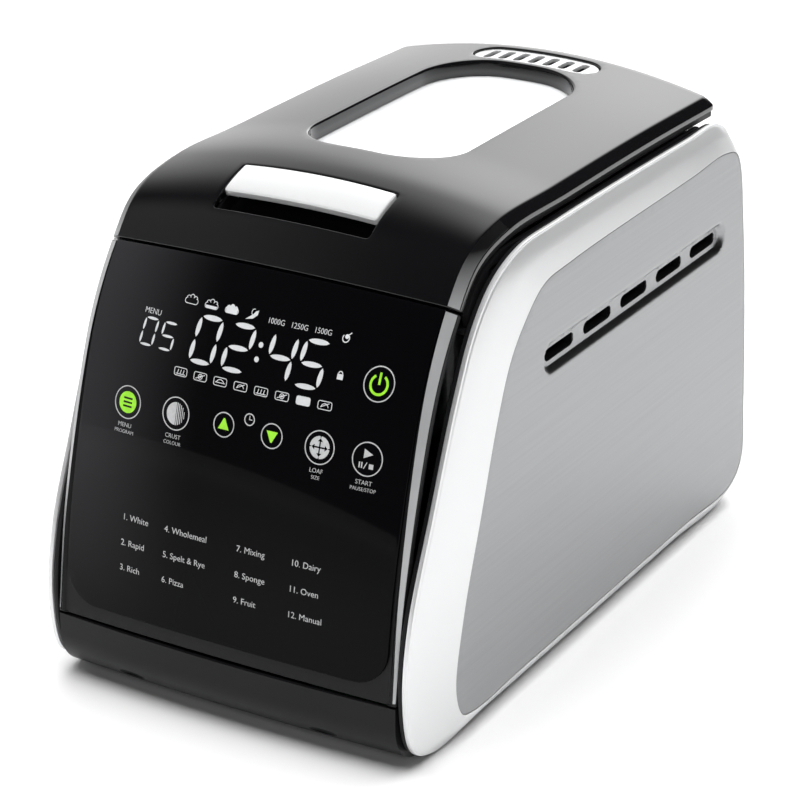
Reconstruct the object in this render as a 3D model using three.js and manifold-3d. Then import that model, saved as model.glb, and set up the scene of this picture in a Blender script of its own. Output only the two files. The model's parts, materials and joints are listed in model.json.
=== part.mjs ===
// Twin-paddle bread machine with a glass touch front, curved black lid and steel sides.
// Millimetres, +Z up. Origin: centre of the footprint on the ground. Front faces -Y.

import * as THREE from 'three';
import { mergeVertices } from 'three/addons/utils/BufferGeometryUtils.js';
import Module from 'manifold-3d';

const wasm = await Module();
wasm.setup();

// ---------------------------------------------------------------- driving dimensions

const GAP = 0.3; // air kept between neighbouring pieces
const WALL = 2.5; // moulded plastic wall

// Side view of the black skin at its side edges, as [y, z] from the front seam up and back.
const SKIN_EDGE_POINTS = [
  [-201, 41.5], [-190.5, 106], [-161, 202], [-137, 241], [-118, 260.5], [-84, 269.6],
  [-20, 269.8], [80, 269.6], [167.5, 267.6],
];
const SKIN_HALF = 108;
const SEAM_HEIGHT = 241; // where the lid meets the front panel
const SEAM_GAP = 1.2;
const BEVEL_WIDTH = [2, 6]; // of the folded side edge, at the bottom and from the seam up
const BEVEL_HEIGHT = [1.5, 4.5];
const CROWN = [3, 6.5, 12.5]; // rise of the middle at the bottom, at the seam and on top
const SHOULDER_LENGTH = 75; // the crown grows to its full height over this length
const SKIN_WALL = 3;

// Side frames: closed outlines as [y, z], both starting at the front of the bottom edge.
const FRAME_EDGE_POINTS = [
  [-172, 3.5], [-193.5, 14], [-201.5, 48], [-195.5, 90], [-174, 143], [-150.5, 198],
  [-132, 231], [-112, 250], [-84, 260.5], [-40, 262], [120, 260.5], [160, 259],
  [178, 246], [191, 190], [203.4, 66], [203.4, 24], [190, 4.5], [120, 3.5], [-120, 3.5],
];
const PANEL_EDGE_POINTS = [
  [-140, 15.3], [-155, 20], [-162, 38], [-154.5, 78], [-137, 129], [-120, 178],
  [-107.5, 205], [-94, 221], [-72, 237], [-40, 240.3], [110, 242.3], [158, 243],
  [175.5, 236.5], [188.8, 186], [202, 68], [203, 29], [189, 15.8], [120, 15.5], [-90, 15.4],
];
const LOOP_STEPS = 57;
const SIDE_WALL_X = [108.8, 111.3];
const FRAME_X = 111.8;
const LIP_X = 114.5;
const PANEL_X = 122;
const PANEL_THICKNESS = 1.2;
const PANEL_SEAT = 2; // how deep the steel panel sits in its frame

// Side vents.
const VENT_CENTRE = [46, 191.4]; // y, z
const VENT_RECESS = { length: 229, height: 18.5, depth: 3.6, slope: 3 };
const VENT_SLOT = { count: 5, pitch: 45.4, length: 33.5, height: 7 };

// Base and body.
const BODY_HALF = 107.6;
const BASE_TOP = 41;
const BASE_BOTTOM = 3;
const BASE_CROWN = 4;
const REAR_END = 205.3;
const FLOOR = BASE_BOTTOM + WALL;
const FOOT = { radius: 9, height: 2.7, x: 88, front: -168, rear: 182 };
const DECK_TOP = 255;
const DECK_FRONT = 229;
const DECK_REAR = 244.5;

// Oven chamber and pan. The pan sits on the middle of the chamber.
const CHAMBER = { x: 84, front: -93, rear: 143, bottom: 91, top: 251.6, wall: 1 };
const MIDDLE_Y = 25;
const PAN = { bottom: 106, rim: 226, wall: 1.5, halfX: 66, halfY: 100, taper: 4, corner: 18, flange: 4 };
const SHAFT_SPACING = 110;
const SHAFT_RADIUS = 4;
const SHAFT_FLAT = 2.6; // from the axis to the flat that keys a paddle
const SPINDLE_TOP = 96; // top of the spindle's disc
const DOG_TIP = 96.4; // underside of the pan's coupling bar, just above that disc
const RUNNING = 0.35; // radial clearance of the turning pieces
const BAIL = { pivotZ: 218, arm: 34, rise: 12, x: 74, wire: 2.2 };
const SENSOR_CENTRE = [40, 0, 180];
const HEATER = { x: 74, front: -83, rear: 133, z: 114, tube: 3.3, terminal: 14 };

// Drive train.
const MOTOR = { x: -40, y: -126, radius: 34, bottom: 36, top: 84 };
const DRIVE_BELT = { z: [22, 30.5], motor: 9, pulley: 44 };
const LINK_BELT = { z: [41, 47], pulley: 18 };
const BELT_THICKNESS = 1.8;
const CHASSIS_TOP = 81;

// Lid.
const RIM_DEPTH = 7.2; // from the skin's edge down to the underside of the rim
const HINGE = { y: 162, z: 257, pin: 2, lug: 5, x: [83, 89, 90, 96] };
const WINDOW = { halfX: 48, front: -57, rear: 130, corner: 36, depth: 9.5 };
const INNER_WINDOW = { halfX: 45, front: -50, rear: 120, corner: 24 };
const GRILLE = { y: 148, length: 82, width: 25, slots: 7, pitch: 10, slotLength: 17, slotWidth: 5 };
const GRIP = { halfX: 48.5, front: [-126, 265], rear: [-95.5, 281], bar: 20.5, barHalfX: 47.4 };

// ---------------------------------------------------------------- materials

function finish(color, roughness, metalness) {
  return new THREE.MeshStandardMaterial({ color, roughness, metalness });
}

const BLACK_GLOSS = finish(0x0d0d0f, 0.12, 0);
const BLACK_SATIN = finish(0x1b1b1d, 0.45, 0);
const GLASS_BLACK = finish(0x08080a, 0.05, 0);
const GLASS_CLEAR = finish(0xeef2f2, 0.05, 0);
const SILVER = finish(0xdfe0e2, 0.28, 0.6);
const STEEL = finish(0xa9abad, 0.35, 1);
const CHROME = finish(0xf2f2f4, 0.08, 1);
const ZINC = finish(0x9a9c9e, 0.4, 1);
const PAN_COATING = finish(0x3c3d40, 0.5, 0.3);
const RUBBER = finish(0x1a1a1a, 0.85, 0);
const BOARD_GREEN = finish(0x1f5a34, 0.55, 0);
const CERAMIC = finish(0xe6e2d8, 0.6, 0);

// ---------------------------------------------------------------- geometry helpers

const AXES = {
  x: new THREE.Vector3(1, 0, 0),
  y: new THREE.Vector3(0, 1, 0),
  z: new THREE.Vector3(0, 0, 1),
};

// Keeps only merged positions, drops collapsed triangles and turns every face outwards.
function closed(geometry) {
  const bare = geometry.clone();
  bare.deleteAttribute('normal');
  bare.deleteAttribute('uv');
  const merged = mergeVertices(bare, 1e-4);
  const position = merged.attributes.position;
  const source = merged.index.array;
  const index = [];
  let volume = 0;
  const a = new THREE.Vector3();
  const b = new THREE.Vector3();
  const c = new THREE.Vector3();
  for (let i = 0; i < source.length; i += 3) {
    const [p, q, r] = [source[i], source[i + 1], source[i + 2]];
    if (p === q || q === r || r === p) continue;
    index.push(p, q, r);
    a.fromBufferAttribute(position, p);
    b.fromBufferAttribute(position, q);
    c.fromBufferAttribute(position, r);
    volume += a.dot(b.cross(c));
  }
  if (volume < 0) index.reverse();
  merged.setIndex(index);
  return merged;
}

function solid(geometry) {
  const clean = closed(geometry);
  return new wasm.Manifold(new wasm.Mesh({
    numProp: 3,
    vertProperties: new Float32Array(clean.attributes.position.array),
    triVerts: new Uint32Array(clean.index.array),
  }));
}

function fromSolid(body) {
  const mesh = body.getMesh();
  const geometry = new THREE.BufferGeometry();
  geometry.setAttribute('position', new THREE.BufferAttribute(mesh.vertProperties, 3));
  geometry.setIndex(new THREE.BufferAttribute(mesh.triVerts, 1));
  return geometry;
}

function cut(geometry, ...tools) {
  return fromSolid(tools.reduce((body, tool) => body.subtract(solid(tool)), solid(geometry)));
}

function join(...geometries) {
  return fromSolid(geometries.map(solid).reduce((body, other) => body.add(other)));
}

function common(geometry, other) {
  return fromSolid(solid(geometry).intersect(solid(other)));
}

function box(x0, x1, y0, y1, z0, z1) {
  const geometry = new THREE.BoxGeometry(x1 - x0, y1 - y0, z1 - z0);
  return geometry.translate((x0 + x1) / 2, (y0 + y1) / 2, (z0 + z1) / 2);
}

function polygon(points) {
  return new THREE.Shape(points.map(([u, v]) => new THREE.Vector2(u, v)));
}

function roundedRect(halfU, halfV, radius, centreU = 0, centreV = 0) {
  const shape = new THREE.Shape();
  const corners = [[1, -1], [1, 1], [-1, 1], [-1, -1]];
  corners.forEach(([su, sv], i) => {
    const u = centreU + su * (halfU - radius);
    const v = centreV + sv * (halfV - radius);
    const start = (i - 1) * Math.PI / 2;
    shape.absarc(u, v, radius, start, start + Math.PI / 2, false);
  });
  return shape;
}

function extrude(shape, depth, curveSegments = 4) {
  return new THREE.ExtrudeGeometry(shape, { depth, bevelEnabled: false, curveSegments });
}

// Extrusions of a flat outline: (y, z) along X, (x, z) along Y and (x, y) along Z.
function prismX(shape, x0, x1, segments) {
  const turn = new THREE.Matrix4().makeBasis(AXES.y, AXES.z, AXES.x);
  return extrude(shape, x1 - x0, segments).applyMatrix4(turn).translate(x0, 0, 0);
}

function prismY(shape, y0, y1, segments) {
  const turn = new THREE.Matrix4().makeBasis(AXES.x, AXES.z, AXES.y.clone().negate());
  return extrude(shape, y1 - y0, segments).applyMatrix4(turn).translate(0, y1, 0);
}

function prismZ(shape, z0, z1, segments) {
  return extrude(shape, z1 - z0, segments).translate(0, 0, z0);
}

function rod(axis, radius, from, to, centre, segments = 12) {
  const geometry = new THREE.CylinderGeometry(radius, radius, to - from, segments);
  geometry.translate(0, (from + to) / 2, 0);
  if (axis === 'x') geometry.rotateZ(-Math.PI / 2);
  if (axis === 'z') geometry.rotateX(Math.PI / 2);
  return geometry.translate(...centre);
}

// A turned piece about a vertical axis; the profile is [radius, z].
function turned(profile, x, y, segments = 18) {
  const points = profile.map(([radius, z]) => new THREE.Vector2(radius, z));
  return new THREE.LatheGeometry(points, segments).rotateX(Math.PI / 2).translate(x, y, 0);
}

function ring(inner, outer, z0, z1, x, y, segments) {
  const profile = [[inner, z0], [outer, z0], [outer, z1], [inner, z1], [inner, z0]];
  return turned(profile, x, y, segments);
}

function meshOf(vertices, faces) {
  const geometry = new THREE.BufferGeometry();
  geometry.setAttribute('position', new THREE.Float32BufferAttribute(vertices.flat(), 3));
  geometry.setIndex(faces.flat());
  return geometry;
}

// Joins a row of equal closed rings; the ends are capped, or joined to each other.
function loft(rings, endless = false) {
  const count = rings[0].length;
  const faces = [];
  const last = endless ? rings.length : rings.length - 1;
  for (let i = 0; i < last; i += 1) {
    for (let j = 0; j < count; j += 1) {
      const a = i * count + j;
      const b = i * count + (j + 1) % count;
      const c = ((i + 1) % rings.length) * count + (j + 1) % count;
      const d = ((i + 1) % rings.length) * count + j;
      faces.push([a, b, c], [a, c, d]);
    }
  }
  if (!endless) {
    faces.push(...cap(rings[0], 0, true));
    faces.push(...cap(rings[rings.length - 1], (rings.length - 1) * count, false));
  }
  return meshOf(rings.flat(), faces);
}

// Fills one ring, seen along the axis in which it is thinnest.
function cap(points, offset, flip) {
  const spans = [0, 1, 2].map((k) => {
    const values = points.map((point) => point[k]);
    return Math.max(...values) - Math.min(...values);
  });
  const drop = spans.indexOf(Math.min(...spans));
  const [u, v] = [(drop + 1) % 3, (drop + 2) % 3];
  const flat = points.map((point) => new THREE.Vector2(point[u], point[v]));
  const clockwise = THREE.ShapeUtils.isClockWise(flat);
  const along = clockwise !== flip;
  return THREE.ShapeUtils.triangulateShape(flat, [])
    .map(([a, b, c]) => (along ? [a, c, b] : [a, b, c]).map((k) => k + offset));
}

// A closed wall between an outer and an inner grid of points.
function shell(rows, columns, pointAt) {
  const vertices = [];
  for (const layer of [0, 1]) {
    for (let i = 0; i < rows; i += 1) {
      for (let j = 0; j < columns; j += 1) vertices.push(pointAt(i, j, layer));
    }
  }
  const at = (layer, i, j) => layer * rows * columns + i * columns + j;
  const faces = [];
  const quad = (a, b, c, d) => faces.push([a, b, c], [a, c, d]);
  for (let i = 0; i < rows - 1; i += 1) {
    for (let j = 0; j < columns - 1; j += 1) {
      quad(at(0, i, j), at(0, i, j + 1), at(0, i + 1, j + 1), at(0, i + 1, j));
      quad(at(1, i, j), at(1, i + 1, j), at(1, i + 1, j + 1), at(1, i, j + 1));
    }
  }
  for (let i = 0; i < rows - 1; i += 1) {
    const end = columns - 1;
    quad(at(0, i, 0), at(0, i + 1, 0), at(1, i + 1, 0), at(1, i, 0));
    quad(at(0, i, end), at(1, i, end), at(1, i + 1, end), at(0, i + 1, end));
  }
  for (let j = 0; j < columns - 1; j += 1) {
    const end = rows - 1;
    quad(at(0, 0, j), at(1, 0, j), at(1, 0, j + 1), at(0, 0, j + 1));
    quad(at(0, end, j), at(0, end, j + 1), at(1, end, j + 1), at(1, end, j));
  }
  return meshOf(vertices, faces);
}

// ---------------------------------------------------------------- the curved black skin

const sidePoint = ([y, z]) => new THREE.Vector3(0, y, z);
const SKIN_EDGE = new THREE.CatmullRomCurve3(SKIN_EDGE_POINTS.map(sidePoint), false, 'centripetal');
const SKIN_LENGTH = SKIN_EDGE.getLength();
const SEAM = skinPlace((point) => point.z >= SEAM_HEIGHT);

// The first place along the skin's edge, 0 to 1, where a test holds.
function skinPlace(test) {
  const steps = 2000;
  for (let i = 0; i <= steps; i += 1) {
    if (test(SKIN_EDGE.getPointAt(i / steps))) return i / steps;
  }
  return 1;
}

function skinForm(place) {
  const rise = Math.min(place / SEAM, 1);
  const shoulder = THREE.MathUtils.smoothstep((place - SEAM) * SKIN_LENGTH, 0, SHOULDER_LENGTH);
  const bevelWidth = THREE.MathUtils.lerp(...BEVEL_WIDTH, rise);
  return {
    bevelHeight: THREE.MathUtils.lerp(...BEVEL_HEIGHT, rise),
    crown: THREE.MathUtils.lerp(CROWN[0], CROWN[1], rise) + shoulder * (CROWN[2] - CROWN[1]),
    flatHalf: SKIN_HALF - bevelWidth,
    bevelWidth,
  };
}

function skinNormal(place) {
  const tangent = SKIN_EDGE.getTangentAt(place);
  return new THREE.Vector3(0, -tangent.z, tangent.y);
}

// A point of the skin, or of a surface sunk below it by a depth.
function skinPoint(place, x, depth) {
  const form = skinForm(place);
  const beyond = Math.abs(x) - form.flatHalf;
  const height = beyond > 0
    ? form.bevelHeight * (1 - beyond / form.bevelWidth)
    : form.bevelHeight + form.crown * (1 - (x / form.flatHalf) ** 2);
  const point = SKIN_EDGE.getPointAt(place).addScaledVector(skinNormal(place), height - depth);
  return [x, point.y, point.z];
}

// Places between two others: close together round the shoulder, further apart elsewhere.
function stations(from, to) {
  const between = [];
  let place = 0;
  while (place < to - 0.001) {
    if (place > from + 0.001) between.push(place);
    const beyondSeam = (place - SEAM) * SKIN_LENGTH;
    const step = beyondSeam < -15 ? 24 : beyondSeam < SHOULDER_LENGTH + 10 ? 7.5 : 50;
    place += step / SKIN_LENGTH;
  }
  return [from, ...between, to];
}

// Points of the skin's edge line sunk along its normal, from one place to another.
function edgeLine(depth, from, to) {
  return stations(from, to).map((place) => {
    const point = SKIN_EDGE.getPointAt(place).addScaledVector(skinNormal(place), -depth);
    return [point.y, point.z];
  });
}

// A piece of the skin between two places, with its top and bottom sunk by two depths.
function skinWall(from, to, outer, inner, { half = SKIN_HALF, across = 8 } = {}) {
  const columns = across + 3;
  const places = stations(from, to);
  return shell(places.length, columns, (i, j, layer) => {
    const place = places[i];
    const flatHalf = Math.min(skinForm(place).flatHalf, half - 1);
    const inside = flatHalf * (2 * (j - 1) / across - 1);
    const x = j === 0 ? -half : j === columns - 1 ? half : inside;
    return skinPoint(place, x, layer === 0 ? outer : inner);
  });
}

// ---------------------------------------------------------------- base, feet and covers

const model = new THREE.Group();

function add(name, geometry, material) {
  const mesh = new THREE.Mesh(closed(geometry), material.clone());
  mesh.name = name;
  model.add(mesh);
}

// Side outline of the base, below the front panel and the rear cover.
function baseOutline(inset) {
  const front = -201 + inset;
  const rear = 202 - inset;
  const bottom = BASE_BOTTOM + inset;
  const radius = 26 - inset;
  const rearRadius = 14 - inset;
  const points = [[rear, BASE_TOP], [front, BASE_TOP]];
  for (let i = 0; i <= 6; i += 1) {
    const angle = i / 6 * Math.PI / 2;
    points.push([front + radius * (1 - Math.cos(angle)), bottom + radius * (1 - Math.sin(angle))]);
  }
  for (let i = 0; i <= 3; i += 1) {
    const angle = i / 3 * Math.PI / 2;
    const y = rear - rearRadius * (1 - Math.sin(angle));
    points.push([y, bottom + rearRadius * (1 - Math.cos(angle))]);
  }
  return points;
}

// The base's front bulges gently across the width; the rear stays flat.
function crownedBase(inset) {
  const half = BODY_HALF - inset;
  const rings = [];
  for (let i = 0; i <= 8; i += 1) {
    const x = half * (i / 4 - 1);
    const bulge = BASE_CROWN * (1 - (x / BODY_HALF) ** 2);
    const reach = ([y]) => THREE.MathUtils.clamp((-150 - y) / 50, 0, 1);
    rings.push(baseOutline(inset).map((point) => [x, point[0] - bulge * reach(point), point[1]]));
  }
  return loft(rings);
}

function footPlaces() {
  return [
    ['front_left', -FOOT.x, FOOT.front], ['front_right', FOOT.x, FOOT.front],
    ['rear_left', -FOOT.x, FOOT.rear], ['rear_right', FOOT.x, FOOT.rear],
  ];
}

function buildBase() {
  const stud = 3;
  const mouth = box(-BODY_HALF + WALL, BODY_HALF - WALL, -198, 199, BASE_TOP - 1, BASE_TOP + 5);
  const holes = footPlaces().map(([, x, y]) => rod('z', stud + GAP, 0, 10, [x, y, 0]));
  const inlet = rod('y', 7 + GAP, 195, 215, [62, 0, 24]);
  add('base_tray', cut(crownedBase(0), crownedBase(WALL), mouth, ...holes, inlet), BLACK_SATIN);
  for (const [place, x, y] of footPlaces()) {
    const profile = [
      [0, 0], [FOOT.radius - 1, 0], [FOOT.radius, 1], [FOOT.radius, FOOT.height],
      [stud, FOOT.height], [stud, FLOOR + 2], [0, FLOOR + 2],
    ];
    add(`foot_${place}`, turned(profile, x, y, 12), RUBBER);
  }
  const gland = join(
    rod('y', 7, 196, REAR_END, [62, 0, 24]),
    rod('y', 10, 202 + GAP, REAR_END, [62, 0, 24]),
  );
  add('cord_gland', cut(gland, rod('y', 3.8, 190, 212, [62, 0, 24])), RUBBER);
}

function buildRearCover() {
  const outline = polygon([
    [202, BASE_TOP + GAP], [202, 66], [189, 190], [177.5, 240], [174, 243.5], [169, 243.5],
    [169, 241], [173, 241], [175, 239], [186.4, 189.6], [199.4, 65.6], [199.4, BASE_TOP + GAP],
  ]);
  const slots = [];
  for (let i = 0; i < 9; i += 1) {
    const x = (i - 4) * 14;
    slots.push(box(x - 2.5, x + 2.5, 150, 215, 84, 132));
  }
  add('rear_cover', cut(prismX(outline, -BODY_HALF, BODY_HALF), ...slots), BLACK_SATIN);
}

function buildDeck() {
  const under = DECK_TOP - SKIN_WALL;
  const outline = polygon([
    [-131, DECK_FRONT], [-112, DECK_FRONT], [-105, DECK_TOP], [152, DECK_TOP], [153.5, DECK_REAR],
    [168.5, DECK_REAR], [168.5, DECK_REAR - 3], [150.7, DECK_REAR - 3], [149.2, under],
    [-102.8, under], [-109.8, DECK_FRONT - 3], [-131, DECK_FRONT - 3],
  ]);
  const mouth = box(-82.5, 82.5, CHAMBER.front + 1.5, CHAMBER.rear - 1.5, 200, 300);
  const lugs = [];
  const [, , inner, outer] = HINGE.x;
  for (const side of [-1, 1]) {
    const [a, b] = [side * inner, side * outer].sort((p, q) => p - q);
    lugs.push(rod('x', HINGE.lug, a, b, [0, HINGE.y, HINGE.z]));
    lugs.push(box(a, b, HINGE.y - 4, HINGE.y + 4, DECK_REAR - 1, HINGE.z));
  }
  const shoulderEnd = skinPlace((point) => point.y >= -92);
  const cheek = polygon([
    ...edgeLine(RIM_DEPTH + 1.2, SEAM + 0.003, shoulderEnd), [148, DECK_TOP + 4.5], [148, DECK_TOP - 2],
    [-104, DECK_TOP - 2], [-112, DECK_FRONT - 2], [-127, DECK_FRONT - 2],
  ]);
  const cheeks = [prismX(cheek, -BODY_HALF, -105), prismX(cheek, 105, BODY_HALF)];
  const deck = cut(join(prismX(outline, -BODY_HALF, BODY_HALF), ...cheeks, ...lugs), mouth);
  add('top_deck', cut(deck, rod('x', HINGE.pin + GAP, -120, 120, [0, HINGE.y, HINGE.z])), BLACK_SATIN);
  for (const [place, side] of [['left', -1], ['right', 1]]) {
    const [a, b] = [side * (HINGE.x[0] + 1), side * (outer + 1)].sort((p, q) => p - q);
    add(`hinge_pin_${place}`, rod('x', HINGE.pin, a, b, [0, HINGE.y, HINGE.z]), ZINC);
  }
}

// ---------------------------------------------------------------- glass front and electronics

function frontOutline(grow) {
  const bottom = 51.5 - grow;
  return roundedRect(102 + grow, (320 - bottom) / 2, 20 + grow, 0, (320 + bottom) / 2);
}

function buildFront() {
  const bottom = 1 / SKIN_LENGTH;
  const top = SEAM - SEAM_GAP / SKIN_LENGTH;
  const pocket = common(
    skinWall(bottom, top + 0.02, -6, 2.6),
    prismY(frontOutline(GAP), -260, -100, 6),
  );
  const panel = skinWall(bottom, top, 0, 5);
  const [low, high] = [bottom + 2 / SKIN_LENGTH, top - 4 / SKIN_LENGTH];
  const outline = polygon([...edgeLine(4, low, high), ...edgeLine(11, low, high).reverse()]);
  const flanges = [prismX(outline, -107.3, -105), prismX(outline, 105, 107.3)];
  add('front_fascia', cut(join(panel, ...flanges), pocket), BLACK_SATIN);
  const slab = skinWall(bottom, top, 0, 2.3);
  add('front_glass', common(slab, prismY(frontOutline(0), -260, -100, 6)), GLASS_BLACK);
}

// Boards and display lie parallel to the sloping front, at a depth behind it.
function behindFront(geometry) {
  const up = new THREE.Vector3(0, 0.289, 0.957).normalize();
  const out = new THREE.Vector3(0, -up.z, up.y);
  const turn = new THREE.Matrix4().makeBasis(AXES.x.clone().negate(), up, out);
  turn.setPosition(0, -178, 154);
  return geometry.applyMatrix4(turn);
}

function buildElectronics() {
  add('display_module', behindFront(box(-52, 72, 16, 60, -11.8, -4)), BLACK_SATIN);
  const keys = [-66, -44, -20, 10, 41, 73].map((x) => box(x - 5, x + 5, 5, 15, -12.5, -8.5));
  const board = box(-84, 84, -55, 74, -14, -12.1);
  add('control_board', behindFront(join(board, ...keys, box(-30, 10, -45, -20, -19, -13))), BOARD_GREEN);
  const posts = [[36, -158], [92, -158], [36, -92], [92, -92]]
    .map(([x, y]) => rod('z', 2.5, FLOOR + GAP, 14.5, [x, y, 0], 12));
  const power = join(
    box(32, 96, -162, -88, 14, 15.6),
    box(40, 66, -152, -126, 15, 38),
    box(72, 90, -150, -132, 15, 32),
    box(70, 88, -116, -96, 15, 30),
    rod('z', 8, 15, 42, [48, -106, 0], 20),
    ...posts,
  );
  add('power_board', power, BOARD_GREEN);
}

// ---------------------------------------------------------------- side walls, frames and panels

function loop(points, inset = 0) {
  const curve = new THREE.CatmullRomCurve3(points.map(sidePoint), true, 'centripetal');
  const places = [];
  for (let i = 0; i < LOOP_STEPS; i += 1) {
    const point = curve.getPoint(i / LOOP_STEPS);
    const tangent = curve.getTangent(i / LOOP_STEPS);
    places.push([point.y + inset * tangent.z, point.z - inset * tangent.y]);
  }
  return places;
}

function mirrored(geometry, side) {
  return side > 0 ? geometry : geometry.clone().scale(-1, 1, 1);
}

function ventSlots(x0, x1) {
  const { count, pitch, length, height } = VENT_SLOT;
  return Array.from({ length: count }, (_, i) => {
    const y = VENT_CENTRE[0] + (i - (count - 1) / 2) * pitch;
    return prismX(roundedRect(length / 2, height / 2, height / 2 - 0.01, y, VENT_CENTRE[1]), x0, x1, 3);
  });
}

// A stadium that narrows from its mouth at one X to its floor at another.
function ventDish(x0, x1, grow) {
  const { length, height, slope } = VENT_RECESS;
  const outlines = [0, slope].map((narrow) => {
    const half = height / 2 - narrow + grow;
    const shape = roundedRect(length / 2 - narrow + grow, half, half - 0.01, ...VENT_CENTRE);
    return shape.getPoints(4).slice(0, -1);
  });
  const rings = outlines.map((points, i) => points.map((point) => [[x0, x1][i], point.x, point.y]));
  return loft(rings);
}

function buildSides() {
  const edge = loop(FRAME_EDGE_POINTS, 0);
  const sunk = loop(FRAME_EDGE_POINTS, 1.2);
  const behind = loop(FRAME_EDGE_POINTS, 3);
  const mouth = loop(PANEL_EDGE_POINTS, 0);
  const seat = loop(PANEL_EDGE_POINTS, 6);
  const ledge = PANEL_X - PANEL_SEAT;
  const rings = edge.map((_, i) => [
    [FRAME_X, ...edge[i]], [LIP_X, ...edge[i]], [LIP_X + 0.4, ...sunk[i]],
    [PANEL_X, ...mouth[i]], [ledge, ...mouth[i]], [ledge, ...seat[i]],
    [ledge - 2, ...seat[i]], [FRAME_X, ...behind[i]],
  ]);
  const frame = loft(rings, true);

  const face = PANEL_X - 0.3;
  const back = face - PANEL_THICKNESS;
  const dishBack = back - VENT_RECESS.depth + PANEL_THICKNESS;
  const plate = join(
    prismX(polygon(loop(PANEL_EDGE_POINTS, 0.5)), back, face),
    ventDish(face - 0.01, dishBack - PANEL_THICKNESS, PANEL_THICKNESS),
  );
  const panel = cut(plate, ventDish(face + 0.01, dishBack, 0), ...ventSlots(110, 130));

  const wall = prismX(polygon(loop(FRAME_EDGE_POINTS, 0.6)), ...SIDE_WALL_X);
  for (const [place, side] of [['left', -1], ['right', 1]]) {
    add(`side_wall_${place}`, mirrored(wall, side), BLACK_SATIN);
    add(`side_frame_${place}`, mirrored(frame, side), SILVER);
    add(`side_panel_${place}`, mirrored(panel, side), STEEL);
  }
}

// ---------------------------------------------------------------- oven chamber and its fittings

const SHAFT_Y = [MIDDLE_Y - SHAFT_SPACING / 2, MIDDLE_Y + SHAFT_SPACING / 2];

function heaterPath() {
  const { x, front, rear, z, terminal } = HEATER;
  const half = [
    [terminal, rear + 17], [terminal, rear + 11], [terminal, rear + 6], [terminal + 2, rear + 2],
    [terminal + 7, rear],
    [x - 9, rear],
    [x, rear - 9], [x, MIDDLE_Y], [x, front + 9], [x - 9, front], [x / 2, front],
  ];
  const other = half.map(([px, py]) => [-px, py]).reverse();
  const points = [...half, [0, front], ...other].map(([px, py]) => new THREE.Vector3(px, py, z));
  return new THREE.CatmullRomCurve3(points, false, 'centripetal');
}

function buildChamber() {
  const { x, front, rear, bottom, top, wall } = CHAMBER;
  const outer = prismZ(roundedRect(x, (rear - front) / 2, 12, 0, MIDDLE_Y), bottom, top, 5);
  const hollow = roundedRect(x - wall, (rear - front) / 2 - wall, 12 - wall, 0, MIDDLE_Y);
  const inner = prismZ(hollow, bottom + wall, top + 9, 5);
  const holes = [
    ...SHAFT_Y.map((y) => rod('z', 12, bottom - 5, bottom + 5, [0, y, 0])),
    ...[-HEATER.terminal, HEATER.terminal].map((at) => rod('y', 5, rear - 5, rear + 5, [at, 0, HEATER.z])),
    rod('y', 4, front - 5, front + 5, SENSOR_CENTRE),
  ];
  add('oven_chamber', cut(outer, inner, ...holes), ZINC);

  const section = new THREE.Shape().absarc(0, 0, HEATER.tube, 0, Math.PI * 2, false);
  const tube = new THREE.ExtrudeGeometry(section, {
    extrudePath: heaterPath(), steps: 44, bevelEnabled: false, curveSegments: 3,
  });
  add('heating_element', tube, ZINC);
  for (const [place, side] of [['left', -1], ['right', 1]]) {
    const bush = ring(HEATER.tube + 2 * RUNNING, 8, rear + GAP, rear + 5, 0, 0, 12);
    bush.rotateX(-Math.PI / 2).translate(side * HEATER.terminal, 0, HEATER.z);
    add(`heater_bush_${place}`, bush, CERAMIC);
  }

  const probe = join(
    rod('y', 3, front - 9, front + 12, SENSOR_CENTRE),
    rod('y', 7, front - 6, front - GAP, SENSOR_CENTRE, 6),
  );
  add('temperature_sensor', probe, ZINC);

  for (const [place, side] of [['front', -1], ['rear', 1]]) {
    const at = (d) => MIDDLE_Y + side * d;
    const low = bottom + wall + 0.4;
    const strip = polygon([
      [at(80), low], [at(102), low], [at(102), 112], [at(100.8), 112], [at(100.8), low + 1.2],
      [at(80), low + 1.2],
    ]);
    add(`pan_clip_${place}`, prismX(strip, -9, 9), ZINC);
  }
}

// ---------------------------------------------------------------- drive train

function beltOutline(a, radiusA, b, radiusB) {
  const heading = Math.atan2(b[1] - a[1], b[0] - a[0]);
  const distance = Math.hypot(b[0] - a[0], b[1] - a[1]);
  const spread = Math.acos((radiusA - radiusB) / distance);
  const shape = new THREE.Shape();
  shape.absarc(a[0], a[1], radiusA, heading + spread, heading - spread + Math.PI * 2, false);
  shape.absarc(b[0], b[1], radiusB, heading - spread, heading + spread, false);
  return shape;
}

function belt(a, radiusA, b, radiusB, [z0, z1]) {
  const segments = 11;
  const near = 0.5;
  const far = near + BELT_THICKNESS;
  return cut(
    prismZ(beltOutline(a, radiusA + far, b, radiusB + far), z0, z1, segments),
    prismZ(beltOutline(a, radiusA + near, b, radiusB + near), z0 - 1, z1 + 1, segments),
  );
}

// A grooved pulley: a rim between two flanges, thinned to a web, on a hub.
function pulleyProfile(radius, [z0, z1], hub) {
  const flange = radius + 2;
  return [
    [hub, z0 - 2], [flange, z0 - 2], [flange, z0 - 0.7], [radius, z0 - 0.7],
    [radius, z1 + 0.7], [flange, z1 + 0.7], [flange, z1 + 2], [hub, z1 + 2], [hub, z0 - 2],
  ];
}

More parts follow.
